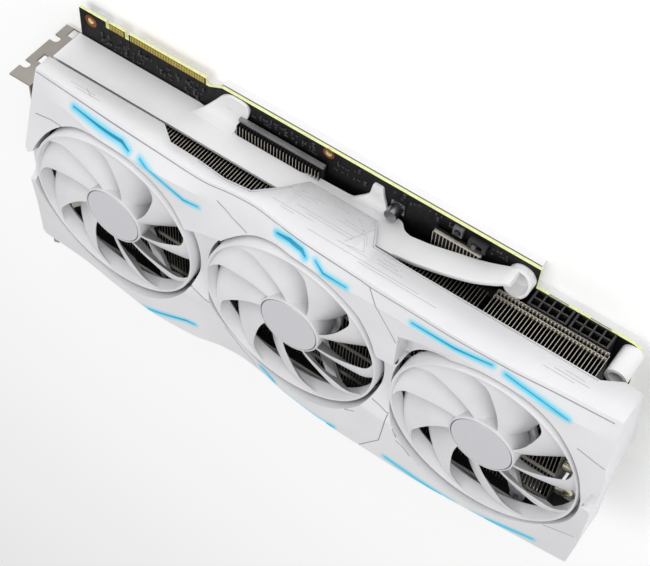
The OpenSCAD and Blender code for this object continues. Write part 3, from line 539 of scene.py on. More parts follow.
# Low floors where neighbouring fans nearly meet, beside the second fan and at the two ends of the card, each with its
# height at a point
LOW_FLOORS = [
    ([(88, -26), (114, -26), (114, 29), (110.3, 28.3), (103.3, 26.7), (96, 24), (88, 21)],
     lambda x, y: NECK_Z + max(0, -8 - y) * 0.42),
    ([(188, -24), (215, -24), (215, 18), (204.8, 18), (188, 16)], lambda x, y: NECK_Z + max(0, -8 - y) * 0.42),
    ([(204.8, 18), (216, 18), (233, 41), (231, 46), (212, 40.4), (203.8, 37), (204.4, 27)],
     lambda x, y: 41.0 + 0.33 * (x - 208)),
    ([(1, -8), (9, -8), (9, 13), (1, 13)], lambda x, y: 46.2 + max(0, -4 - y) * 0.6),
    ([(299, 2), (306, 2), (306, 16), (301, 16)], lambda x, y: 46.6 + max(0, 9 - y) * 0.3),
]
FLOOR_RAMP = 0.35
INNER_SHARE = 1.35

# Seams and facet lines of the face
GROOVES = [
    [(3, 54.4), (40, 54.6), (182, 54.6), (186.5, 54.2)],
    [(186.5, 54.2), (195, 43.3), (203.6, 32)],
    [(206.3, -17.5), (206, -27), (205.2, -39.7), (195.5, -53)],
    [(206.3, -17.3), (209.2, -23.6), (213, -30.6)],
    [(213.3, -32.6), (217, -34.2), (221.5, -38)],
    [(196.9, -17.2), (201, -17.9), (205.6, -19.4)],
    [(149, -45), (163, -46), (176.5, -39.7), (183.5, -34.7), (190.5, -30.6)],
    [(116, -34), (126, -45), (134, -50)],
    [(95, -17), (110, -21)],
    [(288.5, 35.6), (301.6, 32.8)],
    [(285, -32.5), (301, -26.9)],
    [(108.2, 49), (116.5, 44.2), (124.8, 40.9)],
    [(5.6, 34.5), (15.6, 37.1), (25.7, 37.8)],
    [(186.5, 54.2), (240, 54.6), (300, 54.2)],
]
GROOVE_HALF = 0.26
GROOVE_DEPTH = 0.35
# A triangle this near the outline lies along it and has no area
SLIVER = 0.005

# Light strips: middle line and width
STRIPS = [
    ([(27.3, 51.2), (57, 51.2), (62, 49.6)], 1.2),
    ([(68, 49.4), (92.5, 40.6), (100, 41.2)], 0.9),
    ([(139.2, 51.2), (146.3, 52.4), (153.0, 52.0), (155.6, 50.4)], 1.7),
    ([(160.2, 51.4), (165.4, 48.6), (177.3, 48.6)], 0.9),
    ([(208.4, 50.0), (228.6, 50.4), (245.5, 52.6)], 1.0),
    ([(251.4, 52.0), (280.9, 47.4)], 1.1),
    ([(68, -53.6), (95, -44), (100, -43.5)], 0.9),
    ([(137, -48), (146, -51)], 1.0),
    ([(152, -53.6), (162, -53.6), (176, -52.6), (182, -51.2)], 0.9),
    ([(209.8, -49), (246.9, -53)], 0.9),
    ([(255, -53.6), (285, -47.8)], 0.9),
]
STRIP_SINK, STRIP_LOW, SLOT_DEPTH = 0.25, 1.4, 1.6
# Rings of points round each strip that carry the halo, and how it fades
HALO = (0.7, 1.4, 2.4)
HALO_POWER = 1.8
HALO_EDGE, HALO_FADE = 0.6, 1.5


def direction(line, k):
    """Unit vector along a line at its point k, from the points on both sides."""
    before, after = line[max(0, k - 1)], line[min(len(line) - 1, k + 1)]
    return Vector((after[0] - before[0], after[1] - before[1])).normalized()


def strip_outline(line, width, reach=0.0):
    """Outline round a strip's middle line, pointed at both ends, or one further out by reach."""
    left, right = [], []
    for k, p in enumerate(line):
        run = direction(line, k)
        end = (k == len(line) - 1) - (k == 0)
        side = Vector((-run.y, run.x)) * (width * (0.25 if end else 0.5) + reach)
        p = (p[0] + run.x * end * reach, p[1] + run.y * end * reach)
        left.append((p[0] + side.x, p[1] + side.y))
        right.append((p[0] - side.x, p[1] - side.y))
    return right + left[::-1]


STRIP_OUTLINES = [strip_outline(line, width) for line, width in STRIPS]


def glow_value(x, y):
    """Share of strip light in the face at a point: full beside a strip, none beyond the halo."""
    gap = min(point_to_line((x, y), a, b) - width / 2 for line, width in STRIPS for a, b in zip(line, line[1:]))
    fade = min(1, max(0, (HALF_W - HALO_EDGE - abs(y)) / HALO_FADE))
    return fade * min(1, max(0, 1 - (gap - 0.1) / HALO[-1])) ** HALO_POWER


def face_height(x, y):
    z = loft_height(x, y)
    for outline, floor in LOW_FLOORS:
        depth = depth_inside((x, y), outline)
        if depth > 0:
            z -= min(1, depth / FLOOR_RAMP) * max(0, z - floor(x, y))
    for line in GROOVES:
        for a, b in zip(line, line[1:]):
            gap = point_to_line((x, y), a, b)
            if gap < GROOVE_HALF:
                z -= GROOVE_DEPTH * (1 - gap / GROOVE_HALF)
                break
    return z


def subdivide(points, step, closed=True):
    result = []
    count = len(points) if closed else len(points) - 1
    for k in range(count):
        a, b = Vector(points[k]), Vector(points[(k + 1) % len(points)])
        parts = max(1, math.ceil((b - a).length / step))
        result += [tuple(a.lerp(b, j / parts)) for j in range(parts)]
    return result if closed else result + [tuple(points[-1])]


FACE_OUTLINE = [
    (LEFT_X, -50), (LEFT_X + 3.6, -HALF_W), (184, -HALF_W), (187, -HALF_W + 2.4), (192.5, -HALF_W + 2.4),
    (194.5, -HALF_W), (299.6, -HALF_W), (301.6, -52), (303.2, -33), (RIGHT_X, 0), (303.6, 26), (302.4, 32),
    (300, HALF_W), (283.5, HALF_W), (177.5, HALF_W), (171, HALF_W), (136.5, HALF_W), (127.5, HALF_W),
    (119.5, HALF_W), (107, HALF_W), (92, HALF_W), (76.5, HALF_W), (68, HALF_W), (LEFT_X + 0.6, HALF_W),
    (LEFT_X, 33),
]
# Lower edge of the upper long side's wall along X, of the far end's wall along Y, and of the other walls
TOP_SIDE_EDGE = [
    (-5, 28.8), (68, 28.6), (76.5, 35), (92, 35.4), (107, 36.8), (119.5, 35.3), (127.5, 27.4), (136.5, 16.3),
    (171, 16.3), (177.5, 28), (194, 28.6), (283.5, 28.6), (292, 23.4), (310, 25.4),
]
FAR_END_EDGE = [(-60, 46), (-52, 46), (-45, 37), (-33, 29.7), (0, 34), (10, 32), (19, 27), (32, 21.6), (60, 25.2)]
FAR_END_X = 298
LOW_SIDE_Z, LOW_SIDE_FOOT_Z, LOW_SIDE_FOOT_X = 24.0, 13.0, 277
NEAR_END_Z = 28.8


def along(table, value):
    for (x0, z0), (x1, z1) in zip(table, table[1:]):
        if value <= x1:
            return z0 + (z1 - z0) * (value - x0) / (x1 - x0)
    return table[-1][1]


def wall_foot(x, y):
    if y > HALF_W - 0.01:
        return along(TOP_SIDE_EDGE, x)
    if x > FAR_END_X:
        return along(FAR_END_EDGE, y)
    if y < -HALF_W + 3:
        return LOW_SIDE_Z if x < LOW_SIDE_FOOT_X else LOW_SIDE_FOOT_Z
    return NEAR_END_Z


def fan_distances(x, y):
    return [math.hypot(x - cx, y - cy) for cx, cy in FANS]


def build_shroud():
    """The face as a triangle mesh with its lines as edges, walls down from every open edge, then thickness."""
    points, edges = [], []

    def add_loop(loop, closed=True):
        first = len(points)
        points.extend(Vector(p) for p in loop)
        count = len(loop)
        edges.extend((first + k, first + (k + 1) % count) for k in range(count if closed else count - 1))

    add_loop(subdivide(FACE_OUTLINE, 3))
    turns = [2 * math.pi * k / HOLE_SEGMENTS for k in range(HOLE_SEGMENTS)]
    for cx, cy in FANS:
        add_loop([(cx + HOLE_R * math.cos(a), cy + HOLE_R * math.sin(a)) for a in turns])

    def clear(p, margin=0.3):
        return depth_inside(p, FACE_OUTLINE) >= margin and min(fan_distances(*p)) > HOLE_R + margin

    def add_line(line, step=3.0):
        """The stretches of a line that lie on the face."""
        run = []
        for p in subdivide(line, step, closed=False) + [None]:
            if p is not None and clear(p):
                run.append(p)
                continue
            if len(run) > 1:
                add_loop(run, closed=False)
            run = []

    for level in LEVELS[1:-1]:
        add_line([(LEFT_X, level), (RIGHT_X, level)])
    for outline, _ in LOW_FLOORS:
        add_line(outline + [outline[0]], 1.2)
        middle = Vector((sum(p[0] for p in outline), sum(p[1] for p in outline))) / len(outline)
        inner = [tuple(Vector(p) + (middle - Vector(p)).normalized() * FLOOR_RAMP * INNER_SHARE) for p in outline]
        add_line(inner + [inner[0]], 1.2)
    for line in GROOVES:
        for offset in (-GROOVE_HALF, 0, GROOVE_HALF):
            runs = [direction(line, k) for k in range(len(line))]
            add_line([(p[0] - run.y * offset, p[1] + run.x * offset) for p, run in zip(line, runs)])
    for strip in STRIP_OUTLINES:
        add_loop(subdivide(strip, 3))
    for line, width in STRIPS:
        for gap in HALO:
            ring = strip_outline(line, width, gap)
            add_line(ring + [ring[0]], 2.0)
    step = 4.0
    for ix in range(int((RIGHT_X - LEFT_X) / step)):
        for iy in range(int(2 * HALF_W / step)):
            p = (LEFT_X + (ix + 0.5) * step, -HALF_W + (iy + 0.5) * step)
            if clear(p, 1.0):
                points.append(Vector(p))
    verts, _, faces, _, _, _ = geometry.delaunay_2d_cdt(points, edges, [], 0, 1e-4)

    mesh = bmesh.new()
    glow = mesh.verts.layers.float.new("glow")
    top = []
    for v in verts:
        top.append(mesh.verts.new(at(v.x, v.y, face_height(v.x, v.y))))
        top[-1][glow] = glow_value(v.x, v.y)
    for face in faces:
        middle = sum((verts[k] for k in face), Vector((0, 0))) / len(face)
        p = (middle.x, middle.y)
        if depth_inside(p, FACE_OUTLINE) < SLIVER or min(fan_distances(*p)) < HOLE_R - 0.02:
            continue
        if any(inside(p, strip) for strip in STRIP_OUTLINES):
            continue
        in_groove = any(
            point_to_line(p, a, b) < GROOVE_HALF * 0.9 for line in GROOVES for a, b in zip(line, line[1:])
        )
        mesh.faces.new([top[k] for k in face]).material_index = int(in_groove)
    bmesh.ops.delete(mesh, geom=[v for v in mesh.verts if not v.link_faces], context="VERTS")
    if sum(f.normal.z for f in mesh.faces) < 0:
        bmesh.ops.reverse_faces(mesh, faces=mesh.faces)
    mesh.normal_update()

    # Walls go down from every open edge: round the outside, round the holes and round the light strips
    rims = [e for e in mesh.edges if e.is_boundary]
    lower = {}

    def foot(v):
        if v not in lower:
            x, y, z = v.co.x / MM + MID_X, v.co.y / MM + MID_Y, v.co.z / MM
            if any(abs(gap - HOLE_R) < 0.1 for gap in fan_distances(x, y)):
                bottom = COLLAR_Z
            elif depth_inside((x, y), FACE_OUTLINE) > 0.2:
                bottom = z - SLOT_DEPTH
            else:
                bottom = min(z - 1, wall_foot(x, y))
            lower[v] = mesh.verts.new(at(x, y, bottom))
            lower[v][glow] = v[glow] if bottom > z - 2 else 0
        return lower[v]

    for edge in rims:
        face = edge.link_faces[0]
        a, b = edge.verts
        for loop in face.loops:
            if loop.edge == edge:
                a, b = loop.vert, loop.link_loop_next.vert
        mesh.faces.new([b, a, foot(a), foot(b)])
    materials = [WHITE, SEAM, INSIDE, INSIDE]
    piece = add_piece("shroud_moulding", mesh, materials, ["shroud"], smooth=14)
    thick = piece.modifiers.new("thickness", "SOLIDIFY")
    thick.thickness = SHELL_T * MM
    thick.offset = -1
    thick.use_even_offset = False
    # the inner faces take the last two materials, the rim keeps the first
    thick.material_offset = 2
    thick.material_offset_rim = 0


def build_light_strips():
    """The strips sit just under the face, in their slots."""
    mesh = bmesh.new()
    for strip in STRIP_OUTLINES:
        loop = subdivide(strip, 3)
        high = [mesh.verts.new(at(x, y, loft_height(x, y) - STRIP_SINK)) for x, y in loop]
        low = [mesh.verts.new(at(x, y, loft_height(x, y) - STRIP_LOW)) for x, y in loop]
        for verts in (high, low[::-1]):
            bmesh.ops.triangulate(mesh, faces=[mesh.faces.new(verts)])
        for k in range(len(loop)):
            j = (k + 1) % len(loop)
            mesh.faces.new([low[k], low[j], high[j], high[k]])
    add_piece("light_strips", mesh, [GLOW], ["light_guide_top", "light_guide_bottom"])


# Engraved lines on the long side, as points of X and Z: groups of plain bars and bent bars, drawn as grey strips
# whose grey is painted shade of the grooves
ENGRAVING = [
    [(131, 24), (146, 24)], [(133, 25.5), (143, 25.5)], [(136, 22.5), (150, 22.5)], [(129, 33), (150, 33)],
    [(134, 34.5), (141, 34.5)], [(152, 20.5), (160, 20.5)], [(139, 29.5), (168, 29.5)], [(145, 31), (168, 31)],
    [(160, 24.5), (170, 24.5), (164, 20)], [(157, 26), (172, 26), (174.5, 30)], [(166, 33.5), (172.5, 21)],
    [(168, 34.5), (175.5, 33.4), (171.5, 27)], [(163, 34.8), (178, 34.8)], [(182, 33), (192, 33)],
    [(183, 34.5), (195, 34.5)], [(184, 31.5), (190, 31.5)], [(150, 37.4), (205, 37.4)], [(176, 38.8), (214, 38.8)],
    [(20, 34.2), (34, 34.2)], [(24, 35.6), (38, 35.6)], [(28, 33), (33, 36)], [(262, 36), (276, 36)],
    [(266, 34.4), (282, 34.4)], [(270, 32.8), (279, 32.8)],
]
# Painted shadow: a grey band round the lower edge of the raised plate
PLATE_EDGE_SHADOW = [
    (92, 36.2), (107, 37.6), (120, 36.1), (128, 28.2), (137, 17.1), (170.6, 17.1), (177, 28.8), (194, 29.4),
    (283, 29.4),
]
# Half widths of the engraved lines and of the painted shadow band
LINE_HALF, SHADOW_BAND_HALF = 0.13, 0.3


# Grey strips on the long side: painted shade of the engraved lines and painted shadow under the raised plate's edge
def build_engraving_shade():
    mesh = bmesh.new()
    for line in ENGRAVING + [PLATE_EDGE_SHADOW]:
        half = SHADOW_BAND_HALF if line is PLATE_EDGE_SHADOW else LINE_HALF
        for a, b in zip(line, line[1:]):
            run = direction((a, b), 0) * half
            right, left = [[(x + run.y * side, z - run.x * side) for x, z in (a, b)] for side in (1, -1)]
            add_wall(mesh, right + left[::-1], HALF_W + 0.03, HALF_W - 0.3)
    add_piece("side_engraving_shade", mesh, [ENGRAVED_SHADE])


build_shroud()
build_light_strips()
build_engraving_shade()

# ---- fans

# Turn of each fan's first blade at rest, in degrees
BLADE_PHASES = (28.5, 18.0, 32.0)
BLADES = 9
BLADE_LOW = 38.8
BLADE_ROWS, BLADE_COLUMNS = 14, 12
HUB_R = 16.0
RING_IN, RING_OUT = 44.6, 46.0
HUB_PROFILE = [
    (12.7, 36.4), (15.3, 36.4), (15.9, 37.2), (16.0, 38), (16.0, 48.6), (15.9, 49.2), (15.6, 49.65), (15.3, 49.8),
    (15.15, 49.7), (15.1, 48.4), (0.02, 48.4), (0.02, 46), (12.7, 46),
]
RING_PROFILE = [
    (RING_IN, 41.9), (RING_OUT, 41.8), (RING_OUT, 49.2), (RING_OUT - 0.3, 49.7), (RING_OUT - 0.7, 49.8),
    (RING_IN + 0.2, 49.6), (RING_IN, 49.1),
]
DISC_PROFILE = [(0.02, 48.5), (14.6, 48.5), (14.6, 49.6), (14.45, 49.78), (0.02, 49.78)]
# The groove round the disc is drawn dark: painted shade in the gap between the disc and the hub's rim
DISC_GROOVE = [(14.62, 48.6), (15.08, 48.6), (15.08, 49.3), (14.62, 49.3)]
DISC_ORIGIN_Z = 49.3


def blade_point(r, s, side):
    """A point of a blade: r from hub to ring, s from its rear edge to its front edge, side up or down."""
    out = (r - HUB_R) / (RING_IN - HUB_R)
    front = 26 * out + 2.5 * math.sin(math.pi * out) + 8 * max(0, (out - 0.78) / 0.22) ** 2
    chord = 37 - 4 * out
    sweep = front - chord * (1 - s)
    rise = BLADE_LOW + (ROTOR_TOP - 1.1 - BLADE_LOW) * (s + 0.14 * math.sin(math.pi * s)) - 0.6 * out * (1 - s)
    thick = 0.3 + 0.45 * math.sin(math.pi * min(1, s * 0.92 + 0.08)) ** 0.7
    return sweep, rise + side * thick


def build_rotor(index):
    cx, cy = FANS[index]
    mesh = bmesh.new()
    add_lathe(mesh, (cx, cy), HUB_PROFILE)
    add_lathe(mesh, (cx, cy), RING_PROFILE, HOLE_SEGMENTS)
    rows, columns = BLADE_ROWS, BLADE_COLUMNS
    root, tip = HUB_R - 0.5, RING_IN + 0.3
    for blade in range(BLADES):
        turn = BLADE_PHASES[index] + blade * 360 / BLADES
        grids = []
        for side in (1, -1):
            grid = []
            for i in range(rows + 1):
                r = root + (tip - root) * i / rows
                line = []
                for j in range(columns + 1):
                    sweep, z = blade_point(r, j / columns, side if 0 < j < columns else side * 0.8)
                    a = math.radians(turn + sweep)
                    line.append(mesh.verts.new(at(cx + r * math.cos(a), cy + r * math.sin(a), z)))
                grid.append(line)
            grids.append(grid)
        add_sheet(mesh, *grids)
    number = index + 1
    add_piece(f"rotor_{number}", mesh, [ROTOR], [f"fan_{number}_impeller"], 40, f"fan_{number}")

    disc = bmesh.new()
    # the disc's mesh lies about its own origin, because its brushing is centred there
    add_lathe(disc, (MID_X, MID_Y), DISC_PROFILE)
    add_lathe(disc, (MID_X, MID_Y), DISC_GROOVE, material=1)
    bmesh.ops.translate(disc, verts=disc.verts, vec=-at(MID_X, MID_Y, DISC_ORIGIN_Z))
    piece = add_piece(f"hub_disc_{number}", disc, [DISC, RING_SHADE], smooth=30)
    piece.parent = None
    piece.matrix_world = Matrix.Translation(at(cx, cy, DISC_ORIGIN_Z))
    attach(piece, f"fan_{number}")
    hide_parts(f"fan_{number}_badge")


for index in range(3):
    build_rotor(index)

# ---- heatsink fins

FIN_PITCH = 1.66
FIN_T = 0.26
FIN_LOW, FIN_HIGH = 11.2, 31.9
# The fins reach down beside the board's tall parts as far as SHELF_Y, and beyond it only to SHELF_Z
FIN_Y, SHELF_Y, SHELF_Z = -49.4, 42, 14.8
TAB_ROWS = (-44, -22, 0, 22, 43)


def build_fins(name, x0, x1, y_high, node, tabbed_edge):
    """A stack of fins with folded tabs, and rows of tabs along its open edge where that edge is tabbed."""
    mesh = bmesh.new()
    count = int((x1 - x0) / FIN_PITCH)
    for k in range(count + 1):
        x = x0 + k * FIN_PITCH
        outline = [
            (FIN_Y, FIN_LOW), (SHELF_Y, FIN_LOW), (SHELF_Y, SHELF_Z), (y_high, SHELF_Z), (y_high, FIN_HIGH),
            (FIN_Y, FIN_HIGH),
        ]
        near = [mesh.verts.new(at(x, y, z)) for y, z in outline]
        far = [mesh.verts.new(at(x + FIN_T, y, z)) for y, z in outline]
        mesh.faces.new(near[::-1])
        mesh.faces.new(far)
        for j in range(len(outline)):
            n = (j + 1) % len(outline)
            mesh.faces.new([near[j], near[n], far[n], far[j]]).material_index = int(j > 1)
        if k == count:
            continue
        # tabs folded over to the next fin
        for y in TAB_ROWS:
            add_box(mesh, (x + FIN_T, y, FIN_HIGH - 0.3), (x + FIN_PITCH, y + 2.4, FIN_HIGH), 1)
        if tabbed_edge:
            for z, inset in ((14.9, 0.0), (17.6, 0.25)):
                add_box(mesh, (x + FIN_T, y_high - 0.2, z), (x + FIN_PITCH, y_high + 1.9 - inset, z + 0.35), 1)
                add_box(mesh, (x + 0.1, y_high, z), (x + 0.55, y_high + 1.9 - inset, z + 1.5), 1)
        else:
            add_box(mesh, (x + FIN_T, y_high - 1.6, FIN_HIGH - 6.3), (x + FIN_PITCH, y_high - 0.8, FIN_HIGH - 6), 0)
    add_piece(name, mesh, [FIN, FIN_TIP], [node], smooth=0)


build_fins("fins_left", 19, 225.4, 49.6, "fin_stack_left", False)
build_fins("fins_right", 229, 280.9, 53.4, "fin_stack_right", True)

# ---- reinforcement frame

FRAME_Y = 52.0
FRAME_T = 1.5
ARM_T = 2.2
WALL_OUTLINE = [
    (0.95, 6.5), (70, 6.5), (76, 7.4), (92.4, 7.4), (92.8, 11.9), (129.5, 11.8), (132.5, 9.6), (153, 9),
    (157, 7.4), (178, 7.4), (181, 11.2), (186, 12.2), (186, 24.5), (176, 24.8), (125, 24.9), (0.95, 24.9),
]
WALL_RADII = [0.3, 0.3, 0.3, 0.3, 2.2, 2.4, 2, 2, 1, 2.5, 2.5, 0.1, 0.1, 0.3, 0.3, 0.3]
# Each lug bends out of the wall and lies down on the board: Y, Z, and from which X to which at that place
LUG_Z = 7.65
LUG_1 = [
    (51.2, 17, 66, 92.4), (51.9, 14, 69.6, 92.4), (52.6, 11.6, 71.6, 92.6), (54.6, 9.3, 74.6, 93.4),
    (57.6, 7.9, 77.2, 95.6), (60.5, LUG_Z, 79.4, 96.7), (64, LUG_Z, 81.8, 97.3), (66, LUG_Z, 83.6, 96.9),
    (67.4, LUG_Z, 85.8, 95.4), (68, LUG_Z, 88, 92.4),
]
LUG_2 = [
    (51.2, 13, 150, 176), (51.9, 11, 153, 172.6), (54.5, 8.7, 157.6, 170), (57, LUG_Z, 160.2, 168.5),
    (60, LUG_Z, 161, 167.5), (63.6, LUG_Z, 161.6, 166.8), (64.6, LUG_Z, 162, 166.4), (65, LUG_Z, 162.8, 165.6),
]
# Underside of whatever stands on the board
FOOT_Z = 6.15
BOSS = (234.5, 59.4)
BOSS_OUT, BOSS_IN = 6.3, 4.9
BOSS_LOW, BOSS_RISE, BOSS_LOW_SIDE = 9.8, 4.6, 100
BOSS_SEGMENTS = 64
BOSS_FOOT = [(229, 55), (236, 53.6), (240, 57), (240.6, 61), (238.6, 65), (234, 66.2), (230, 64.6)]
# The arm's middle line, and the heights of its lower and upper edge at each of its points
ARM_PATH = [(184, 51.25), (194, 52.4), (206, 54.6), (218, 57.6), (226.6, 61), (230.8, 63.2), (234, 64.4)]
ARM_LOW = [12.2, 11.4, 9.9, 8.9, 8.2, 8.0, 8.4]
ARM_HIGH = [24.5, 23.9, 22.4, 20.8, 19, 18, 17.6]
ARM_STEPS = 30
# Section of the arm, as shares across it and the ease of its corners: the lower side, then the upper one
ARM_SECTION = [(-1, 0.25), (-0.6, 0), (0.6, 0), (1, 0.25), (1, -0.25), (0.6, 0), (-0.6, 0), (-1, -0.25)]


def spline(row, f):
    """Value at share f between the middle two of four, on a smooth curve through all of them."""
    a, b, c, d = row
    return 0.5 * (2 * b + (c - a) * f + (2 * a - 5 * b + 4 * c - d) * f * f + (3 * b - a - 3 * c + d) * f**3)


def add_lug(mesh, stations, thick, columns=10, steps=3):
    """A bent sheet through the stations, closed all round."""
    rows = []
    last = len(stations) - 1
    for k in range(last * steps + 1):
        j = min(k // steps, last - 1)
        four = [stations[max(0, min(last, j + d))] for d in (-1, 0, 1, 2)]
        rows.append([spline([entry[c] for entry in four], k / steps - j) for c in range(4)])
    grids = []
    for drop in (0, thick):
        grid = []
        for y, z, x0, x1 in rows:
            line = []
            for c in range(columns + 1):
                u = c / columns
                edge = 0.25 * (c in (0, columns)) * (drop == 0)
                line.append(mesh.verts.new(at(x0 + (x1 - x0) * u, y, max(FOOT_Z, z - drop - edge))))
            grid.append(line)
        grids.append(grid)
    add_sheet(mesh, *grids)


def add_arm(mesh):
    """The arm bows away from the wall and runs up to the boss."""
    rings = []
    last = len(ARM_PATH) - 1
    for k in range(ARM_STEPS + 1):
        t = k / ARM_STEPS * last
        j = min(int(t), last - 1)
        f = t - j
        four = [ARM_PATH[max(0, min(last, j + d))] for d in (-1, 0, 1, 2)]
        x, y = [spline([point[c] for point in four], f) for c in (0, 1)]
        run = direction(four[1:3], 0)
        side = Vector((-run.y, run.x)) * ARM_T / 2
        low, high = [edge[j] * (1 - f) + edge[j + 1] * f for edge in (ARM_LOW, ARM_HIGH)]
        rings.append([
            mesh.verts.new(at(x + side.x * share, y + side.y * share, (low if n < 4 else high) + corner))
            for n, (share, corner) in enumerate(ARM_SECTION)
        ])
    add_closed_rings(mesh, rings)
    mesh.faces.new(rings[0])
    mesh.faces.new(rings[-1][::-1])


def add_boss(mesh):
    """A short tube with a floor for its screw: its rim is lowest at one side and rises to a scoop at the other."""
    tube = []
    for k in range(BOSS_SEGMENTS):
        a = 2 * math.pi * k / BOSS_SEGMENTS
        tall = BOSS_LOW + BOSS_RISE * (0.5 - 0.5 * math.cos(a - math.radians(BOSS_LOW_SIDE))) ** 1.2
        profile = [
            (BOSS_OUT, FOOT_Z), (BOSS_OUT, tall - 0.5), (BOSS_OUT - 0.3, tall - 0.1), (BOSS_OUT - 0.7, tall),
            (BOSS_IN + 0.3, tall - 0.1), (BOSS_IN, tall - 0.5), (BOSS_IN - 0.1, 7.5), (BOSS_IN - 0.6, 7.0),
            (1.4, 7.0), (1.4, FOOT_Z),
        ]
        tube.append([
            mesh.verts.new(at(BOSS[0] + r * math.cos(a), BOSS[1] + r * math.sin(a), z)) for r, z in profile
        ])
    add_closed_rings(mesh, tube + tube[:1])
    foot = rounded(BOSS_FOOT, 2.4)
    add_between(mesh, *([at(x, y, z) for x, y in foot] for z in (FOOT_Z, 7.2)))


def build_frame():
    mesh = bmesh.new()
    add_wall(mesh, rounded(WALL_OUTLINE, WALL_RADII), FRAME_Y, FRAME_Y - FRAME_T)
    add_lug(mesh, LUG_1, FRAME_T)
    add_lug(mesh, LUG_2, FRAME_T)
    add_arm(mesh)
    add_boss(mesh)
    bmesh.ops.recalc_face_normals(mesh, faces=mesh.faces)
    piece = add_piece("frame_bar", mesh, [PAINT], ["reinforcement_frame"], 35)
    ease(piece, 0.25, 50)


build_frame()

# ---- window under the first lug, power stage heatsink

BAR_X0, BAR_X1 = 93.4, 138.3
TONGUE_TOP = 11.4


def build_tongues():
    """The milled bar and the fins' tongues in the window, and the bright bar and fin edges of the small heatsink."""
    mesh = bmesh.new()
    add_box(mesh, (BAR_X0, 58.0, 7.6), (BAR_X1, 59.75, 9.35))
    for k in range(int((BAR_X1 - BAR_X0) / FIN_PITCH)):
        x = BAR_X0 + 0.4 + k * FIN_PITCH
        add_box(mesh, (x, 49.9, 9.15), (x + FIN_T, 57.4, TONGUE_TOP), 2)
        add_box(mesh, (x, 49.9, TONGUE_TOP), (x + FIN_T, 57.6, TONGUE_TOP + 0.2), 1)
    (x0, y0, _), (x1, y1, z1) = card_box("vrm_heatsink")
    add_box(mesh, (x0 + 1, y1 - 1.1, z1 - 0.8), (x1, y1 + 0.1, z1 + 0.15), 1)
    for k in range(int((x1 - x0) / FIN_PITCH)):
        x = x0 + 0.4 + k * FIN_PITCH
        add_box(mesh, (x, y0 + 0.1, z1 - 0.3), (x + FIN_T, y1 - 1.1, z1 + 0.1), 1)
    add_piece("fin_tongues", mesh, [MILLED, FIN_TIP, FIN], smooth=0)


# Flush caps over the frame's screws: centre, height of the top and material. The dark cap on the floor of the boss is
# painted shade in its screw hole
SCREW_CAPS = [((87.5, 61.5), 7.68, 0), ((164.3, 61), 7.68, 0), ((234.5, 59), 7.1, 1)]
CAP_R = 1.9


def build_screw_caps():
    mesh = bmesh.new()
    for centre, top, shade in SCREW_CAPS:
        profile = [(0.02, 6.2), (CAP_R, 6.2), (CAP_R, top - 0.1), (CAP_R - 0.15, top), (0.02, top)]
        add_lathe(mesh, centre, profile, 32, shade)
    add_piece("frame_screw_caps", mesh, [PAINT, SOCKET], ["frame_screws"])


# Ends of two heatpipes past the right stack: where each starts, and its radius along it
PIPE_STARTS = [(281, -20.5, 24), (281.4, -40.5, 24.5)]
PIPE_PROFILE = [(0, 3), (3.4, 3), (5.2, 2.5), (7, 1.3), (7.8, 0.7)]
PIPE_SEGMENTS = 24


def build_pipe_ends():
    mesh = bmesh.new()
    turns = [2 * math.pi * k / PIPE_SEGMENTS for k in range(PIPE_SEGMENTS)]
    for x, y, z in PIPE_STARTS:
        rings = [
            [mesh.verts.new(at(x + out, y + radius * math.cos(a), z + radius * math.sin(a))) for a in turns]
            for out, radius in PIPE_PROFILE
        ]
        add_closed_rings(mesh, rings)
        mesh.faces.new(rings[0][::-1])
        mesh.faces.new(rings[-1])
    bmesh.ops.recalc_face_normals(mesh, faces=mesh.faces)
    add_piece("pipe_ends", mesh, [NICKEL], smooth=40)


build_tongues()
build_screw_caps()
build_pipe_ends()

# ---- board details

PAD_HOLE_R, PAD_T = 1.65, 0.06
SCREW_PADS = [((8.3, 63.5), 3.3), ((138.2, 65.8), 2.85)]
# Where small parts are scattered: from and to in X, from and to in Y, and how many
SMD_ZONES = [
    (14, 40, 54, 62, 26), (42, 72, 54, 62, 22), (99, 132, 61, 66.4, 26), (142, 158, 58.5, 67, 12),
    (168.5, 200, 63.5, 67, 12), (219, 226, 62, 66.5, 8), (196, 226, 49, 53, 8),
]
SMD_SIZES = ((1.0, 0.5), (1.6, 0.8), (0.9, 0.5), (2.0, 1.25))
SMD_HEIGHTS = (0.35, 0.5, 0.8)
SMD_GRID = 0.5
SMD_GAP = (1.9, 1.5)
SMD_END = 0.24


def build_screw_pads():
    mesh = bmesh.new()
    low, high = BOARD_Z, BOARD_Z + PAD_T
    for centre, radius in SCREW_PADS:
        add_lathe(mesh, centre, [(PAD_HOLE_R, low), (radius, low), (radius, high), (PAD_HOLE_R, high)], 40)
    add_piece("screw_pads", mesh, [COPPER])


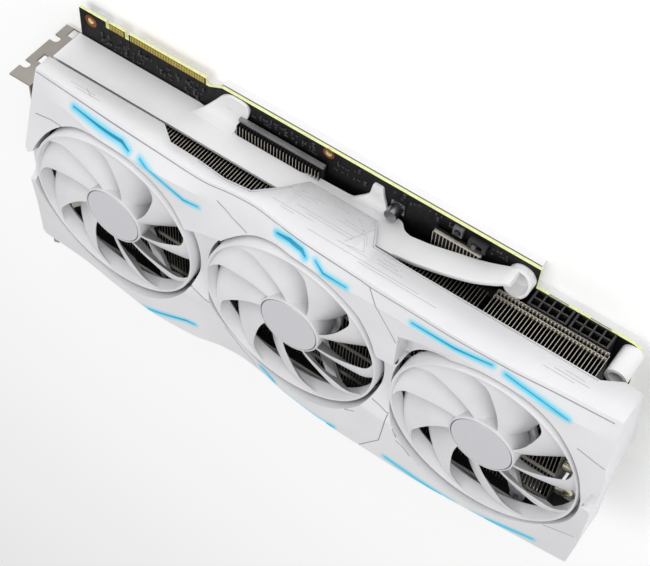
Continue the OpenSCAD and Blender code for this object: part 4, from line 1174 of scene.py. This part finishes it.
def build_small_parts():
    """Chips with a tinned end at each short side, on a grid and clear of each other."""
    random.seed(11)
    mesh = bmesh.new()
    for x0, x1, y0, y1, count in SMD_ZONES:
        placed = []
        for _ in range(count * 3):
            if len(placed) >= count:
                break
            long, wide = random.choice(SMD_SIZES)
            if random.random() < 0.5:
                long, wide = wide, long
            x = round(random.uniform(x0, x1) / SMD_GRID) * SMD_GRID
            y = round(random.uniform(y0, y1) / SMD_GRID) * SMD_GRID
            if any(abs(x - px) < SMD_GAP[0] and abs(y - py) < SMD_GAP[1] for px, py in placed):
                continue
            placed.append((x, y))
            z0, z1 = BOARD_Z + 0.02, BOARD_Z + random.choice(SMD_HEIGHTS)
            low, high = (x - long / 2, y - wide / 2), (x + long / 2, y + wide / 2)
            axis = 0 if long > wide else 1
            cuts = (low[axis], low[axis] + SMD_END, high[axis] - SMD_END, high[axis])
            for start, end, shade in ((cuts[1], cuts[2], 0), (cuts[0], cuts[1], 1), (cuts[2], cuts[3], 1)):
                if axis == 0:
                    add_box(mesh, (start, low[1], z0), (end, high[1], z1), shade)
                else:
                    add_box(mesh, (low[0], start, z0), (high[0], end, z1), shade)
    add_piece("small_board_parts", mesh, [CHIP, TIN], smooth=0)


RIB_HALF, RIB_IN, RIB_OUT = 0.14, 0.1, 0.06
WAY_PITCH = 4.2


def build_socket_ribs():
    """Thin lighter ribs round each way of the power sockets."""
    mesh = bmesh.new()
    for number in (1, 2):
        (x0, _, z0), (x1, y1, z1) = card_box(f"power_socket_{number}")
        for z in (z0 + 0.25, (z0 + z1) / 2, z1 - 0.25):
            add_box(mesh, (x0 + 0.1, y1 - RIB_IN, z - RIB_HALF), (x1 - 0.1, y1 + RIB_OUT, z + RIB_HALF))
        for k in (-2, -1, 0, 1, 2):
            x = min(max((x0 + x1) / 2 + k * WAY_PITCH, x0 + 0.3), x1 - 0.3)
            add_box(mesh, (x - RIB_HALF, y1 - RIB_IN, z0 + 0.2), (x + RIB_HALF, y1 + RIB_OUT, z1 - 0.2))
    add_piece("socket_ribs", mesh, [SOCKET_EDGE])


build_screw_pads()
build_small_parts()
build_socket_ribs()

# ---- floor, light, camera

FLOOR_REACH = 3.0
FLOOR_GAP = 0.0002
floor_mesh = bmesh.new()
for side_x, side_y in ((-1, -1), (1, -1), (1, 1), (-1, 1)):
    floor_mesh.verts.new((side_x * FLOOR_REACH, side_y * FLOOR_REACH, cad_low.z - FLOOR_GAP))
floor_mesh.faces.new(floor_mesh.verts)
floor_data = bpy.data.meshes.new("floor")
floor_mesh.to_mesh(floor_data)
floor_mesh.free()
FLOOR = finish("floor_paper", (0.93, 0.93, 0.93, 1), (0.95, 0.95, 0.95, 1), (0.8, 0.9), blotch=2)
floor_shader = principled(FLOOR)
put(floor_shader, "Emission Color", (1, 1, 1, 1))
put(floor_shader, "Emission Strength", 0.25)
floor_data.materials.append(FLOOR)
floor = bpy.data.objects.new("floor", floor_data)
bpy.context.scene.collection.objects.link(floor)
floor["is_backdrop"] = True

world = bpy.data.worlds.new("studio")
world.use_nodes = True
background = world.node_tree.nodes["Background"]
put(background, 0, (1, 1, 1, 1))
put(background, 1, 0.5)
bpy.context.scene.world = world
bpy.context.scene.view_settings.view_transform = "Standard"

CENTRE = (cad_low + cad_high) / 2


def area_light(name, place, size, power):
    """A soft rectangular lamp at a place in metres, turned to the middle of the card."""
    data = bpy.data.lights.new(name, "AREA")
    data.shape = "RECTANGLE"
    data.size, data.size_y = size
    data.energy = power
    lamp = bpy.data.objects.new(name, data)
    lamp.location = Vector(place)
    lamp.rotation_euler = (CENTRE - lamp.location).to_track_quat("-Z", "Y").to_euler()
    bpy.context.scene.collection.objects.link(lamp)


area_light("overhead", (-0.15, 0.35, 0.9), (0.7, 0.5), 2.6)
area_light("long_side", (0.25, 0.95, 0.35), (1.0, 0.4), 2.6)
area_light("far_end", (0.95, 0.1, 0.4), (0.6, 0.5), 0.9)

# The camera stands off the far end of the long side, above the card, and is rolled with it
camera_data = bpy.data.cameras.new("camera")
camera_data.lens = 81.42
camera_data.sensor_width = 36
camera_data.clip_end = 20
camera = bpy.data.objects.new("camera", camera_data)
bpy.context.scene.collection.objects.link(camera)
right = Vector((0.8167, 0.0511, -0.5749)).normalized()
back = Vector((0.2994, 0.8141, 0.4977)).normalized()
up = back.cross(right).normalized()
right = up.cross(back)
place = at(348.2, 536.0, 349.0)
camera.matrix_world = Matrix((
    (right.x, up.x, back.x, place.x), (right.y, up.y, back.y, place.y), (right.z, up.z, back.z, place.z), (0, 0, 0, 1)
))
bpy.context.scene.camera = camera
